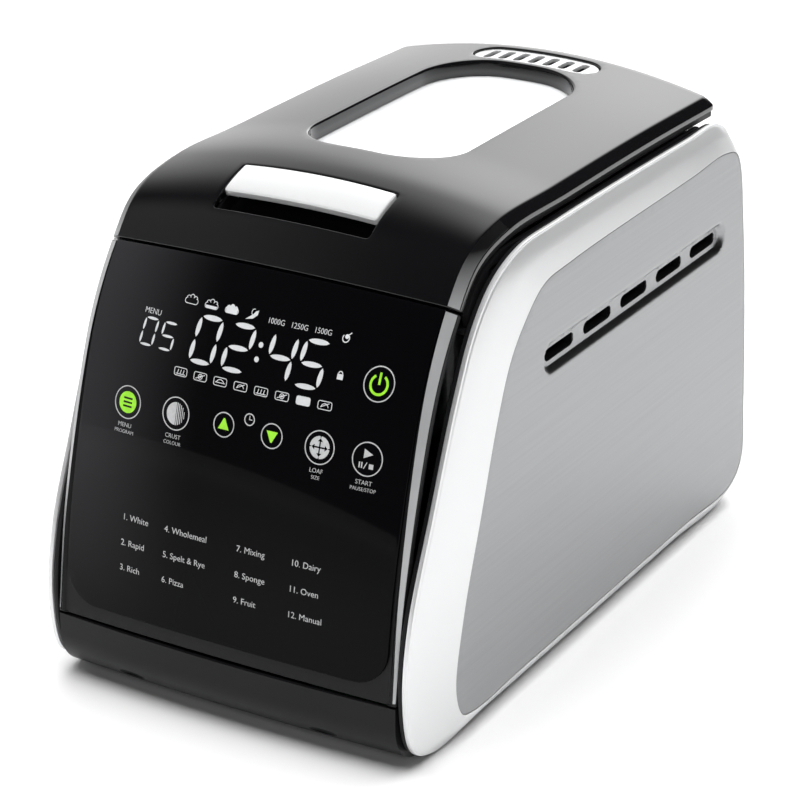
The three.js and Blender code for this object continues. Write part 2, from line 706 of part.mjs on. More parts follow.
function buildDrive() {
  const [frontY, rearY] = SHAFT_Y;
  const bore = SHAFT_RADIUS + GAP;
  SHAFT_Y.forEach((y, i) => {
    const place = ['front', 'rear'][i];
    const spindle = turned([
      [0, 16], [SHAFT_RADIUS, 16], [SHAFT_RADIUS, 93.3], [9, 93.3], [9, SPINDLE_TOP], [0, SPINDLE_TOP],
    ], 0, y, 16);
    const ears = [-1, 1].map((side) => {
      const [a, b] = [side * 4.5, side * 8].sort((p, q) => p - q);
      return box(a, b, y - 3, y + 3, SPINDLE_TOP - 1, SPINDLE_TOP + 4);
    });
    add(`drive_spindle_${place}`, join(spindle, ...ears), ZINC);
    const bearing = join(
      ring(SHAFT_RADIUS + RUNNING, 10, 70, 90.5, 0, y, 14),
      ring(SHAFT_RADIUS + RUNNING, 15, CHASSIS_TOP + GAP, CHASSIS_TOP + 2.3, 0, y, 14),
    );
    add(`bearing_${place}`, bearing, ZINC);
    const link = turned(pulleyProfile(LINK_BELT.pulley, LINK_BELT.z, bore), 0, y, 20);
    if (i === 0) {
      const big = turned(pulleyProfile(DRIVE_BELT.pulley, DRIVE_BELT.z, bore), 0, y, 30);
      const hub = ring(bore, 12, DRIVE_BELT.z[1], LINK_BELT.z[0], 0, y, 20);
      const holes = [0, 1, 2, 3, 4].map((k) => {
        const angle = k * Math.PI * 2 / 5;
        return rod('z', 8, 10, 36, [27 * Math.cos(angle), y + 27 * Math.sin(angle), 0], 8);
      });
      add('drive_pulley_front', cut(join(big, hub, link), ...holes), BLACK_SATIN);
    } else {
      add('link_pulley_rear', link, BLACK_SATIN);
    }
  });

  const front = [0, frontY];
  const motor = [MOTOR.x, MOTOR.y];
  add('drive_belt', belt(front, DRIVE_BELT.pulley, motor, DRIVE_BELT.motor, DRIVE_BELT.z), RUBBER);
  add('link_belt', belt(front, LINK_BELT.pulley, [0, rearY], LINK_BELT.pulley, LINK_BELT.z), RUBBER);

  const shaft = turned([[0, 17], [3, 17], [3, 50], [0, 50]], ...motor, 20);
  const pulley = turned(pulleyProfile(DRIVE_BELT.motor, DRIVE_BELT.z, 2.5), ...motor, 14);
  add('motor_pulley', join(shaft, pulley), ZINC);
  const { radius, bottom, top } = MOTOR;
  const can = turned([
    [3.5, bottom], [radius - 4, bottom], [radius, bottom + 4], [radius, top - 4], [radius - 4, top],
    [10, top], [10, top + 3], [0, top + 3], [0, 53], [3.5, 53], [3.5, bottom],
  ], ...motor, 20);
  const vents = [0, 1, 2, 3, 4, 5].map((k) => {
    const angle = k * Math.PI / 3;
    const centre = [motor[0] + 20 * Math.cos(angle), motor[1] + 20 * Math.sin(angle), 0];
    return rod('z', 4, top - 6, top + 1, centre, 6);
  });
  add('motor', cut(can, ...vents), ZINC);
  const bridge = polygon([
    [-80, FLOOR + GAP], [-78, FLOOR + GAP], [-78, bottom - 3], [8, bottom - 3], [8, FLOOR + GAP],
    [10, FLOOR + GAP], [10, bottom - 0.5], [-80, bottom - 0.5],
  ]);
  const bracket = cut(prismY(bridge, -166, -92), rod('z', 13, 20, 50, [...motor, 0]));
  add('motor_bracket', bracket, ZINC);

  const bench = polygon([
    [-96, FLOOR + GAP], [-94, FLOOR + GAP], [-94, CHASSIS_TOP - 2], [94, CHASSIS_TOP - 2],
    [94, FLOOR + GAP], [96, FLOOR + GAP], [96, CHASSIS_TOP], [-96, CHASSIS_TOP],
  ]);
  const seats = SHAFT_Y.map((y) => rod('z', 10.5, 60, 100, [0, y, 0]));
  add('chassis_bench', cut(prismY(bench, -80, 140), ...seats), ZINC);
}

// ---------------------------------------------------------------- pan, shafts and paddles

// A tub whose walls spread a little from its floor to its mouth.
function tub(z0, z1, inset) {
  const sizes = [PAN.taper + inset, inset];
  const rings = sizes.map((less, i) => {
    const shape = roundedRect(PAN.halfX - less, PAN.halfY - less, PAN.corner - less / 2, 0, MIDDLE_Y);
    return shape.getPoints(4).slice(0, -1).map((point) => [point.x, point.y, [z0, z1][i]]);
  });
  return loft(rings);
}

function dCut(radius, flat, z0, z1, y) {
  return box(flat, radius + 5, y - radius - 5, y + radius + 5, z0, z1);
}

function paddle(y) {
  const hubTop = 130;
  const low = PAN.bottom + PAN.wall + 0.6;
  const hub = turned([[0, low], [10, low], [8, hubTop - 2], [7, hubTop], [0, hubTop]], 0, y, 16);
  const blade = polygon([
    [y + 2, low], [y + 34, low], [y + 33, low + 16], [y + 24, low + 34], [y + 2, hubTop - 3],
  ]);
  const bore = rod('z', SHAFT_RADIUS + RUNNING, low - 1, hubTop - 3, [0, y, 0], 14);
  const keyed = cut(bore, dCut(SHAFT_RADIUS, SHAFT_FLAT + RUNNING, low - 2, hubTop, y));
  return cut(join(hub, prismX(blade, -2.5, 2.5)), keyed);
}

function buildPan() {
  const { bottom, rim, wall, halfX, halfY, corner, flange } = PAN;
  const brim = roundedRect(halfX + flange, halfY + flange, corner + flange, 0, MIDDLE_Y);
  const lip = prismZ(brim, rim - 2, rim);
  const ears = [-1, 1].map((side) => {
    const [a, b] = [side * (halfX - 1.5), side * (halfX + 4)].sort((p, q) => p - q);
    return box(a, b, MIDDLE_Y - 7, MIDDLE_Y + 7, BAIL.pivotZ - 6, rim - 1);
  });
  const pins = [-1, 1].map((side) => {
    const [a, b] = [side * (halfX + 1), side * (halfX + 12)].sort((p, q) => p - q);
    return rod('x', BAIL.wire + GAP, a, b, [0, MIDDLE_Y, BAIL.pivotZ]);
  });
  const holes = SHAFT_Y.map((y) => rod('z', 7, bottom - 5, bottom + 5, [0, y, 0]));
  const hollow = tub(bottom + wall, rim + 0.5, wall);
  add('bread_pan', cut(join(tub(bottom, rim, 0), lip, ...ears), hollow, ...holes, ...pins), PAN_COATING);

  SHAFT_Y.forEach((y, i) => {
    const place = ['front', 'rear'][i];
    const bush = turned([
      [SHAFT_RADIUS + RUNNING, 102.4], [16, 102.4], [16, bottom - GAP], [6.6, bottom - GAP],
      [6.6, bottom + wall], [SHAFT_RADIUS + RUNNING, bottom + wall], [SHAFT_RADIUS + RUNNING, 102.4],
    ], 0, y, 16);
    add(`pan_bush_${place}`, bush, ZINC);
    const shaft = turned([
      [0, 100.3], [8.5, 100.3], [8.5, 102], [SHAFT_RADIUS, 102], [SHAFT_RADIUS, 125],
      [SHAFT_RADIUS - 1, 126], [0, 126],
    ], 0, y, 16);
    const bar = box(-1.8, 1.8, y - 8, y + 8, DOG_TIP, 101);
    const flat = dCut(SHAFT_RADIUS, SHAFT_FLAT, bottom + wall, 130, y);
    add(`pan_shaft_${place}`, cut(join(shaft, bar), flat), ZINC);
    add(`paddle_${place}`, paddle(y), PAN_COATING);
  });

  const reach = Math.sqrt(BAIL.arm ** 2 - BAIL.rise ** 2);
  const barY = MIDDLE_Y - reach;
  const barZ = BAIL.pivotZ + BAIL.rise;
  const side = [
    [halfX + 1.5, MIDDLE_Y, BAIL.pivotZ], [BAIL.x - 2.5, MIDDLE_Y, BAIL.pivotZ],
    [BAIL.x, MIDDLE_Y - 3, BAIL.pivotZ + 1.1],
    [BAIL.x, barY + 6, barZ - 2.2], [BAIL.x - 5, barY, barZ], [BAIL.x - 24, barY, barZ],
  ];
  const points = [...side, ...side.map(([x, y, z]) => [-x, y, z]).reverse()];
  const path = new THREE.CatmullRomCurve3(points.map((p) => new THREE.Vector3(...p)), false, 'centripetal');
  const section = new THREE.Shape().absarc(0, 0, BAIL.wire, 0, Math.PI * 2, false);
  add('pan_handle', new THREE.ExtrudeGeometry(section, {
    extrudePath: path, steps: 38, bevelEnabled: false, curveSegments: 3,
  }), ZINC);
}

// ---------------------------------------------------------------- lid

function windowShape({ halfX, front, rear, corner }, grow = 0) {
  const half = (rear - front) / 2 + grow;
  return roundedRect(halfX + grow, half, corner + grow, 0, (front + rear) / 2);
}

function stadium(length, width, y, grow = 0) {
  const half = width / 2 + grow;
  return roundedRect(length / 2 + grow, half, half - 0.01, 0, y);
}

// A local frame on the shoulder: u runs from the grip's front edge to its rear, v points out.
function gripFrame() {
  const [front, rear] = [GRIP.front, GRIP.rear].map(sidePoint);
  const along = rear.clone().sub(front).normalize();
  const out = new THREE.Vector3(0, -along.z, along.y);
  return { front, along, out, length: rear.distanceTo(front) };
}

function gripPrism(points, half) {
  const { front, along, out } = gripFrame();
  const outline = polygon(points.map(([u, v]) => {
    const point = front.clone().addScaledVector(along, u).addScaledVector(out, v);
    return [point.y, point.z];
  }));
  return prismX(outline, -half, half);
}

function gripOpening() {
  const { front, along, out, length } = gripFrame();
  const shape = roundedRect(GRIP.halfX, length / 2, 1.5, 0, length / 2);
  const turn = new THREE.Matrix4().makeBasis(AXES.x, along, out);
  turn.setPosition(front);
  return prismZ(shape, -8, 14).applyMatrix4(turn);
}

function buildLidShell() {
  const start = SEAM + SEAM_GAP * 0.2 / SKIN_LENGTH;
  const skin = skinWall(start, 1, 0, SKIN_WALL);
  const well = common(
    skinWall(0.5, 1, 0, WINDOW.depth, { half: 70, across: 6 }),
    cut(prismZ(windowShape(WINDOW, 2.2), 200, 320, 6), prismZ(windowShape(WINDOW), 190, 330, 6)),
  );
  const holes = [
    prismZ(windowShape(WINDOW), 200, 320, 6),
    prismZ(stadium(GRILLE.length, GRILLE.width, GRILLE.y, 0.4), 200, 320, 6),
    gripOpening(),
  ];
  add('lid_skin', join(cut(skin, ...holes), well), BLACK_GLOSS);

  const pane = common(
    skinWall(0.5, 1, WINDOW.depth + GAP, WINDOW.depth + 2.8, { half: 70, across: 6 }),
    prismZ(windowShape(WINDOW, 1.8), 200, 320, 6),
  );
  add('lid_window', pane, GLASS_CLEAR);

  const slots = Array.from({ length: GRILLE.slots }, (_, i) => {
    const x = (i - (GRILLE.slots - 1) / 2) * GRILLE.pitch;
    const shape = roundedRect(GRILLE.slotWidth / 2, GRILLE.slotLength / 2, 2.4, x, GRILLE.y);
    return prismZ(shape, 200, 320, 2);
  });
  const insert = common(
    skinWall(0.8, 1, 1, SKIN_WALL + 0.6, { half: 70, across: 6 }),
    prismZ(stadium(GRILLE.length, GRILLE.width, GRILLE.y), 200, 320, 6),
  );
  add('lid_vent_grille', cut(insert, ...slots), SILVER);
}

function buildGrip() {
  const { length } = gripFrame();
  const under = skinWall(SEAM - 0.02, SEAM + 0.25, -30, SKIN_WALL + GAP, { half: 70, across: 6 });
  const cup = gripPrism([
    [-2.5, 4], [0.5, -12.3], [27, -16], [length + 2.5, -4], [length + 2.5, 4],
  ], GRIP.halfX + 2);
  const room = gripPrism([
    [-0.3, 8], [2.6, -10.2], [26.5, -14], [length + 0.3, -4], [length + 0.3, 8],
  ], GRIP.halfX);
  add('handle_pocket', cut(cup, room, under), BLACK_SATIN);
  const strip = skinWall(SEAM, SEAM + 0.25, -0.6, 4.6, { half: 60, across: 8 });
  const start = length - GRIP.bar;
  const end = length - 0.6;
  const gauge = gripPrism([[start, 10], [start, -12], [end, -12], [end, 10]], GRIP.barHalfX);
  add('lid_handle', common(strip, gauge), CHROME);
}

function buildLidFrame() {
  const start = SEAM + 0.003;
  const outline = polygon([
    ...edgeLine(SKIN_WALL + 0.6, start, 1),
    ...edgeLine(RIM_DEPTH, start, 1).reverse(),
  ]);
  const band = prismX(outline, -SKIN_HALF + 1.5, SKIN_HALF - 1.5);
  const lugs = [];
  const notches = [];
  for (const side of [-1, 1]) {
    const order = (p, q) => p - q;
    const [a, b] = [side * HINGE.x[0], side * HINGE.x[1]].sort(order);
    lugs.push(rod('x', HINGE.lug, a, b, [0, HINGE.y, HINGE.z]));
    lugs.push(box(a, b, HINGE.y - 4.5, HINGE.y + 4.5, HINGE.z, HINGE.z + 6));
    const [c, d] = [side * (HINGE.x[2] - 0.5), side * (HINGE.x[3] + 0.5)].sort(order);
    notches.push(box(c, d, HINGE.y - 9, HINGE.y + 9, HINGE.z - 10, HINGE.z + 12));
  }
  const tail = common(
    skinWall(0.9, 1, SKIN_WALL + 0.6, 26, { half: SKIN_HALF - 1.5 }),
    box(-120, 120, 163.6, 166.4, HINGE.z + 4.5, 300),
  );
  const frame = cut(
    join(band, tail, ...lugs),
    box(-97, 97, -124, 150, 200, 300),
    rod('x', HINGE.pin + GAP, -120, 120, [0, HINGE.y, HINGE.z]),
    ...notches,
  );
  add('lid_rim', frame, BLACK_SATIN);

  const plate = prismZ(roundedRect(104, 125.5, 14, 0, 26.5), 257.6, 260.1);
  add('lid_liner', cut(plate, prismZ(windowShape(INNER_WINDOW), 240, 280)), ZINC);
  add('lid_inner_glass', prismZ(windowShape(INNER_WINDOW, 5), 260.4, 263), GLASS_CLEAR);
  const gasket = cut(
    prismZ(roundedRect(94, 124.5, 16, 0, 26.5), DECK_TOP + GAP, 257.3),
    prismZ(roundedRect(88, 118, 12, 0, 26.5), 240, 280),
  );
  add('lid_seal', gasket, RUBBER);
}

buildBase();
buildRearCover();
buildDeck();
buildFront();
buildElectronics();
buildSides();
buildChamber();
buildDrive();
buildPan();
buildLidShell();
buildGrip();
buildLidFrame();

export default model;
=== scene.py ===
"""Twin-paddle bread machine: its visible pieces, their finishes and the studio around it."""

import json
import math

import bmesh
import bpy
import numpy as np
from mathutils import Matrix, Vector
from mathutils.geometry import delaunay_2d_cdt


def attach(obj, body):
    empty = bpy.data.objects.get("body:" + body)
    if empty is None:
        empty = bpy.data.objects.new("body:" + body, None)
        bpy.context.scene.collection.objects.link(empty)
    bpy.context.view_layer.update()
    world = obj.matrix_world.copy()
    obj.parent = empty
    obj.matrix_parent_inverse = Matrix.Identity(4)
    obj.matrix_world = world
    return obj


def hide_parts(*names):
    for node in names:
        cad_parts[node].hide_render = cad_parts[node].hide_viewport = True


bl_info = {
    "name": "Bread machine",
    "version": (1, 0, 0),
    "blender": (4, 5, 0),
    "location": "3D View > Sidebar > Bread machine",
    "description": "Builds the pieces, finishes and studio of a twin-paddle bread machine",
    "category": "Add Mesh",
}

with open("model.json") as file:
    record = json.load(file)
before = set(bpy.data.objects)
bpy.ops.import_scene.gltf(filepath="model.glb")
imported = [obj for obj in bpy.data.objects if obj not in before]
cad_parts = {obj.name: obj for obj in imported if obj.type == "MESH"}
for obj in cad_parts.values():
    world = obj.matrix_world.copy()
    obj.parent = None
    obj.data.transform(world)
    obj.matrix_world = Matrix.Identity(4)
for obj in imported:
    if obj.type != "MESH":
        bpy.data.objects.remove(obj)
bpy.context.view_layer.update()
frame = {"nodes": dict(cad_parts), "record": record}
NODES = frame["nodes"]
MM = 0.001

# Side outlines as (y, z) in millimetres.
SKIN_EDGE_POINTS = (
    (-201, 41.5), (-190.5, 106), (-161, 202), (-137, 241), (-118, 260.5), (-84, 269.6),
    (-20, 269.8), (80, 269.6), (167.5, 267.6),
)
FRAME_EDGE_POINTS = (
    (-172, 3.5), (-193.5, 14), (-201.5, 48), (-195.5, 90), (-174, 143), (-150.5, 198),
    (-132, 231), (-112, 250), (-84, 260.5), (-40, 262), (120, 260.5), (160, 259),
    (178, 246), (191, 190), (203.4, 66), (203.4, 24), (190, 4.5), (120, 3.5), (-120, 3.5),
)
PANEL_EDGE_POINTS = (
    (-140, 15.3), (-155, 20), (-162, 38), (-154.5, 78), (-137, 129), (-120, 178),
    (-107.5, 205), (-94, 221), (-72, 237), (-40, 240.3), (110, 242.3), (158, 243),
    (175.5, 236.5), (188.8, 186), (202, 68), (203, 29), (189, 15.8), (120, 15.5), (-90, 15.4),
)
SKIN_HALF = 108.0
SEAM_HEIGHT = 241.0
SEAM_GAP = 1.2
BEVEL_WIDTH = (2.0, 6.0)
BEVEL_HEIGHT = (1.5, 4.5)
CROWN = (3.0, 6.5, 12.5)
SHOULDER_LENGTH = 75.0
WINDOW = {"half": 48.0, "front": -57.0, "rear": 130.0, "corner": 36.0}
GRILLE = {"y": 148.0, "length": 82.0, "width": 25.0}
GRIP_FRONT = (-126.0, 265.0)
GRIP_REAR = (-95.5, 281.0)
GRIP_HALF = 48.5
VENT_CENTRE = (46.0, 191.4)
POCKET_WALL = 1.9
BODY_HALF = 107.6
BASE_FRONT_RADIUS = 26
BASE_REAR_RADIUS = 14
LUG_CENTRE = (162, 257)
LUG_RADIUS = 5
# Strips on the skin's bevels that carry a painted reflection: a light colour standing in for the light that
# the black bevels reflect.
REFLECTION_STRIP_INSET = (0.45, 0.35)  # from the bevel's inner and outer edge
REFLECTION_STRIP_LIFT = 0.08
REFLECTION_STRIP_THICKNESS = 0.2
REFLECTION_FADE = (0.24, 0.266)  # heights in metres between which the painted reflection on the bevels fades to black
PAN_CORNER = 18
PAN_CORNER_POINTS = 13


# ---------------------------------------------------------------- curves and outlines


def spline(points, closed, steps):
    """Points of a centripetal Catmull-Rom curve, steps of them between each pair of anchors."""
    anchors = np.array(points, float)
    count = len(anchors)
    if closed:
        anchors = np.vstack([anchors[-1], anchors, anchors[:2]])
    else:
        ends = 2 * anchors[[0, -1]] - anchors[[1, -2]]
        anchors = np.vstack([ends[0], anchors, ends[1]])
    found = []
    for i in range(count if closed else count - 1):
        a, b, c, d = anchors[i : i + 4]
        before, between, after = (np.linalg.norm(q - p) ** 0.5 for p, q in ((a, b), (b, c), (c, d)))
        start = ((b - a) / before - (c - a) / (before + between) + (c - b) / between) * between
        end = ((c - b) / between - (d - b) / (between + after) + (d - c) / after) * between
        t = (np.arange(steps) / steps)[:, None]
        found.append(
            b + start * t + (3 * (c - b) - 2 * start - end) * t**2 + (2 * (b - c) + start + end) * t**3
        )
    line = np.vstack(found)
    return line if closed else np.vstack([line, points[-1]])


class Edge:
    """A side outline read by its length in millimetres."""

    def __init__(self, line):
        steps = np.linalg.norm(np.diff(line, axis=0), axis=1)
        self.at = np.concatenate([[0.0], np.cumsum(steps)])
        self.line = line
        self.tangent = np.gradient(line, self.at, axis=0)
        self.tangent /= np.linalg.norm(self.tangent, axis=1)[:, None]
        self.length = float(self.at[-1])

    def point(self, place):
        return [np.interp(place, self.at, self.line[:, k]) for k in (0, 1)]

    def outward(self, place):
        """The direction out of the body: the travel runs from the front's foot over the top."""
        y, z = (np.interp(place, self.at, self.tangent[:, k]) for k in (0, 1))
        return -z, y

    def first(self, axis, value):
        """The first place where the outline reaches a value of y (0) or z (1)."""
        reached = int(np.argmax(self.line[:, axis] >= value))
        low, high = self.line[reached - 1, axis], self.line[reached, axis]
        share = (value - low) / (high - low)
        return float(self.at[reached - 1] + share * (self.at[reached] - self.at[reached - 1]))


SKIN = Edge(spline(SKIN_EDGE_POINTS, False, 240))
SEAM = SKIN.first(1, SEAM_HEIGHT)
CREASE_SOFTNESS = 0.3
FACE_MARGIN = 0.04  # keeps the smooth skin inside the faceted one


def smoothstep(x, low, high):
    t = np.clip((np.asarray(x, float) - low) / (high - low), 0, 1)
    return t * t * (3 - 2 * t)


def skin_form(place):
    """Bevel width, bevel height and crown of the skin at a place along its edge."""
    rise = np.clip(place / SEAM, 0, 1)
    width = BEVEL_WIDTH[0] + (BEVEL_WIDTH[1] - BEVEL_WIDTH[0]) * rise
    height = BEVEL_HEIGHT[0] + (BEVEL_HEIGHT[1] - BEVEL_HEIGHT[0]) * rise
    crown = CROWN[0] + (CROWN[1] - CROWN[0]) * rise
    crown = crown + (CROWN[2] - CROWN[1]) * smoothstep(place - SEAM, 0, SHOULDER_LENGTH)
    return width, height, crown


def skin_height(place, x):
    """How far the skin stands above its edge line, with the fold along its sides softened."""
    width, height, crown = skin_form(place)
    flat = SKIN_HALF - width
    middle = height + crown * (1 - (x / flat) ** 2)
    side = height * (1 - (np.abs(x) - flat) / width)
    return (middle + side) / 2 - np.sqrt((middle - side) ** 2 + CREASE_SOFTNESS**2) / 2 - FACE_MARGIN


def on_skin(x, place, depth):
    """Points of the curved black skin, in millimetres, at a depth below it."""
    x, place, depth = np.broadcast_arrays(*(np.asarray(v, float) for v in (x, place, depth)))
    y, z = SKIN.point(place)
    out_y, out_z = SKIN.outward(place)
    height = skin_height(place, x) - depth
    return np.stack([x, y + out_y * height, z + out_z * height], axis=-1)


def skin_place(x, value, axis):
    """Places where the skin's surface passes a given y (1) or z (2)."""
    x, value = np.broadcast_arrays(np.asarray(x, float), np.asarray(value, float))
    axis_of_edge = SKIN.line[:, axis - 1]
    place = np.interp(value, axis_of_edge, SKIN.at)
    for _ in range(4):
        error = value - on_skin(x, place, 0)[..., axis]
        slope = np.interp(place, SKIN.at, SKIN.tangent[:, axis - 1])
        place = place + error / np.maximum(slope, 0.2)
    return place


def on_front(x, z, lift=0.0):
    """Points on the glass front at a width and a height, lifted off it."""
    return on_skin(x, skin_place(x, z, 2), -np.asarray(lift, float))


def rounded(corners, radius, step=4.0):
    """A closed outline with rounded corners, counter-clockwise, with points every step."""
    corners = [np.array(c, float) for c in corners]
    radii = radius if isinstance(radius, (list, tuple)) else [radius] * len(corners)
    arcs = []
    for i, corner in enumerate(corners):
        back = corners[i - 1] - corner
        ahead = corners[(i + 1) % len(corners)] - corner
        back, ahead = back / np.linalg.norm(back), ahead / np.linalg.norm(ahead)
        half = math.acos(float(np.clip(back @ ahead, -1, 1))) / 2
        centre = corner + (back + ahead) / np.linalg.norm(back + ahead) * radii[i] / math.sin(half)
        start = corner + back * radii[i] / math.tan(half) - centre
        end = corner + ahead * radii[i] / math.tan(half) - centre
        turn = math.atan2(start[0] * end[1] - start[1] * end[0], start @ end)
        count = max(3, int(math.ceil(abs(turn) * max(radii[i], 2.0) / min(step, 2.5))))
        angles = math.atan2(start[1], start[0]) + np.linspace(0, turn, count + 1)
        arcs.append(centre + radii[i] * np.stack([np.cos(angles), np.sin(angles)], axis=1))
    line = []
    for i, arc in enumerate(arcs):
        line.extend(arc)
        gap = arcs[(i + 1) % len(arcs)][0] - arc[-1]
        count = int(math.ceil(np.linalg.norm(gap) / step))
        line.extend(arc[-1] + gap * k / count for k in range(1, count))
    line = np.array(line)
    keep = np.linalg.norm(line - np.roll(line, 1, axis=0), axis=1) > 0.15
    return line[keep]


def rectangle(u0, u1, v0, v1, radius, step=4.0):
    return rounded([(u0, v0), (u1, v0), (u1, v1), (u0, v1)], radius, step)


def inwards(loop):
    """The direction into a counter-clockwise outline at each of its points."""
    along = np.roll(loop, -1, axis=0) - np.roll(loop, 1, axis=0)
    along /= np.linalg.norm(along, axis=1)[:, None]
    return np.stack([-along[:, 1], along[:, 0]], axis=1)


def holds(loop, points):
    """Which points lie inside an outline."""
    x, y = points[:, 0], points[:, 1]
    inside = np.zeros(len(points), bool)
    for (x0, y0), (x1, y1) in zip(loop, np.roll(loop, -1, axis=0)):
        crosses = (y0 > y) != (y1 > y)
        if crosses.any():
            at = x0 + (y - y0) * (x1 - x0) / (y1 - y0 if y1 != y0 else 1)
            inside ^= crosses & (x < at)
    return inside


def distance_to(loop, points):
    """Distance from each point to an outline."""
    nearest = np.full(len(points), 1e9)
    for a, b in zip(loop, np.roll(loop, -1, axis=0)):
        side = b - a
        t = np.clip(((points - a) @ side) / max(side @ side, 1e-12), 0, 1)
        nearest = np.minimum(nearest, np.linalg.norm(points - a - t[:, None] * side, axis=1))
    return nearest


# ---------------------------------------------------------------- meshes


def finished(name, mesh, material, sharp=32.0):
    """An object around a mesh: doubles merged, faces outwards, smooth with its hard edges kept."""
    work = bmesh.new()
    work.from_mesh(mesh)
    bmesh.ops.remove_doubles(work, verts=work.verts, dist=2e-6)
    bmesh.ops.dissolve_degenerate(work, edges=work.edges, dist=1e-6)
    bmesh.ops.recalc_face_normals(work, faces=work.faces)
    work.to_mesh(mesh)
    work.free()
    mesh.shade_smooth()
    mesh.set_sharp_from_angle(angle=math.radians(sharp))
    mesh.materials.clear()
    mesh.materials.append(material)
    found = bpy.data.objects.new(name, mesh)
    bpy.context.scene.collection.objects.link(found)
    return found


def piece(name, points, faces, material, sharp=32.0):
    """A piece from points in millimetres."""
    mesh = bpy.data.meshes.new(name)
    mesh.from_pydata((np.asarray(points, float) * MM).tolist(), [], faces)
    return finished(name, mesh, material, sharp)


def merged(*shapes):
    """Several (points, faces) shapes as one."""
    points, faces, start = [], [], 0
    for shape_points, shape_faces in shapes:
        points.append(np.asarray(shape_points, float))
        faces.extend([[i + start for i in face] for face in shape_faces])
        start += len(shape_points)
    return np.vstack(points), faces


def belonging(obj, body, slot, *nodes):
    """Says what a piece rides on and which CAD nodes it stands for; its slot is not used."""
    if nodes:
        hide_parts(*nodes)
    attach(obj, body)
    return obj


def slab(place, loops, columns, rows):
    """A closed plate over a flat region, bent into shape by place(u, v, depth).

    loops holds (outline, profile) pairs: the outer edge first, then the holes. A profile runs
    from the top face to the back as (inset, depth) pairs.
    """
    rings, plan = [], []
    for k, (loop, profile) in enumerate(loops):
        normal = inwards(loop) * (1 if k == 0 else -1)
        rings.append([(loop + normal * inset, depth) for inset, depth in profile])
        plan.append(max(inset for inset, _ in profile))
    grid = np.array([(u, v) for v in rows for u in columns], float).reshape(-1, 2)
    keep = holds(loops[0][0], grid)
    for k, (loop, _) in enumerate(loops):
        if k:
            keep &= ~holds(loop, grid)
        keep[keep] &= distance_to(loop, grid[keep]) > plan[k] + 0.45
    grid = grid[keep]

    flat, edges, start = [], [], 0
    for ring in rings:
        count = len(ring[0][0])
        flat.append(ring[0][0])
        edges += [(start + i, start + (i + 1) % count) for i in range(count)]
        start += count
    flat = np.vstack([*flat, grid])
    found = delaunay_2d_cdt([Vector(p) for p in flat], edges, [], 0, 1e-7)
    corners = np.array([(p.x, p.y) for p in found[0]])
    if not all(found[3]):
        raise RuntimeError("two edges of a plate's outlines cross")
    source = [min(ids) for ids in found[3]]
    triangles = np.array([face for face in found[2] if len(face) == 3])
    middles = corners[triangles].mean(axis=1)
    keep = holds(rings[0][0][0], middles)
    for ring in rings[1:]:
        keep &= ~holds(ring[0][0], middles)
    triangles = [[source[i] for i in face] for face in triangles[keep]]

    points = [place(flat[:, 0], flat[:, 1], np.zeros(len(flat)))]
    faces = [list(face) for face in triangles]
    total = len(flat)
    last_rings, start = [], 0
    for ring in rings:
        count = len(ring[0][0])
        previous = list(range(start, start + count))
        for outline, depth in ring[1:]:
            current = list(range(total, total + count))
            points.append(place(outline[:, 0], outline[:, 1], np.full(count, float(depth))))
            total += count
            for i in range(count):
                j = (i + 1) % count
                faces.append([previous[i], previous[j], current[j], current[i]])
            previous = current
        last_rings += previous
        start += count
    depth = rings[0][-1][1]
    back = np.full(len(grid), float(depth))
    points.append(place(grid[:, 0], grid[:, 1], back))
    under = last_rings + list(range(total, total + len(grid)))
    faces += [[under[c], under[b], under[a]] for a, b, c in triangles]
    return np.vstack(points), faces


def rounding(radius, depth, back=0.2, steps=4):
    """A plate's edge: rounded at its face, straight, and slightly broken at its back."""
    turn = np.linspace(0, math.pi / 2, steps + 1)
    face = [(radius * (1 - math.sin(a)), radius * (1 - math.cos(a))) for a in turn]
    return [*face, (0, depth - back), (back, depth)]


def lofted(rings, capped=True):
    """Equal closed rings of points joined in a row, with flat ends."""
    count = len(rings[0])
    faces = []
    for i in range(len(rings) - 1):
        for j in range(count):
            k = (j + 1) % count
            faces.append([i * count + j, i * count + k, (i + 1) * count + k, (i + 1) * count + j])
    if capped:
        faces.append(list(range(count))[::-1])
        faces.append([(len(rings) - 1) * count + j for j in range(count)])
    return np.vstack(rings), faces


def turned(profile, x, y, segments=48):
    """A turned shape about a vertical axis; the profile is (radius, z) and closes on the axis."""
    angles = np.arange(segments) * 2 * math.pi / segments
    rings = [
        np.stack([x + r * np.cos(angles), y + r * np.sin(angles), np.full(segments, z)], axis=1)
        for r, z in profile
    ]
    return lofted(rings)


def tube(path, radius, sides=12, closed=False):
    """A round wire along a smooth path of points."""
    path = np.asarray(path, float)
    if closed:
        along = np.roll(path, -1, axis=0) - np.roll(path, 1, axis=0)
    else:
        along = np.gradient(path, axis=0)
    along /= np.linalg.norm(along, axis=1)[:, None]
    side = np.cross(along[0], (0.3, 0.5, 0.81))
    rings = []
    for point, direction in zip(path, along):
        side = side - direction * (side @ direction)
        side /= np.linalg.norm(side)
        up = np.cross(direction, side)
        angles = np.arange(sides) * 2 * math.pi / sides
        rings.append(point + radius * (np.outer(np.cos(angles), side) + np.outer(np.sin(angles), up)))
    if closed:
        points, faces = lofted(rings, capped=False)
        last = (len(rings) - 1) * sides
        for j in range(sides):
            k = (j + 1) % sides
            faces.append([last + j, last + k, k, j])
        return points, faces
    return lofted(rings)


# ---------------------------------------------------------------- geometry node trees


def tree(name, sockets):
    """An empty geometry tree with named inputs and one geometry output."""
    found = bpy.data.node_groups.new(name, "GeometryNodeTree")
    for label, kind, value in sockets:
        socket = found.interface.new_socket(label, in_out="INPUT", socket_type=kind)
        if value is not None:
            socket.default_value = value
    found.interface.new_socket("Geometry", in_out="OUTPUT", socket_type="NodeSocketGeometry")
    return found, found.nodes.new("NodeGroupInput"), found.nodes.new("NodeGroupOutput")


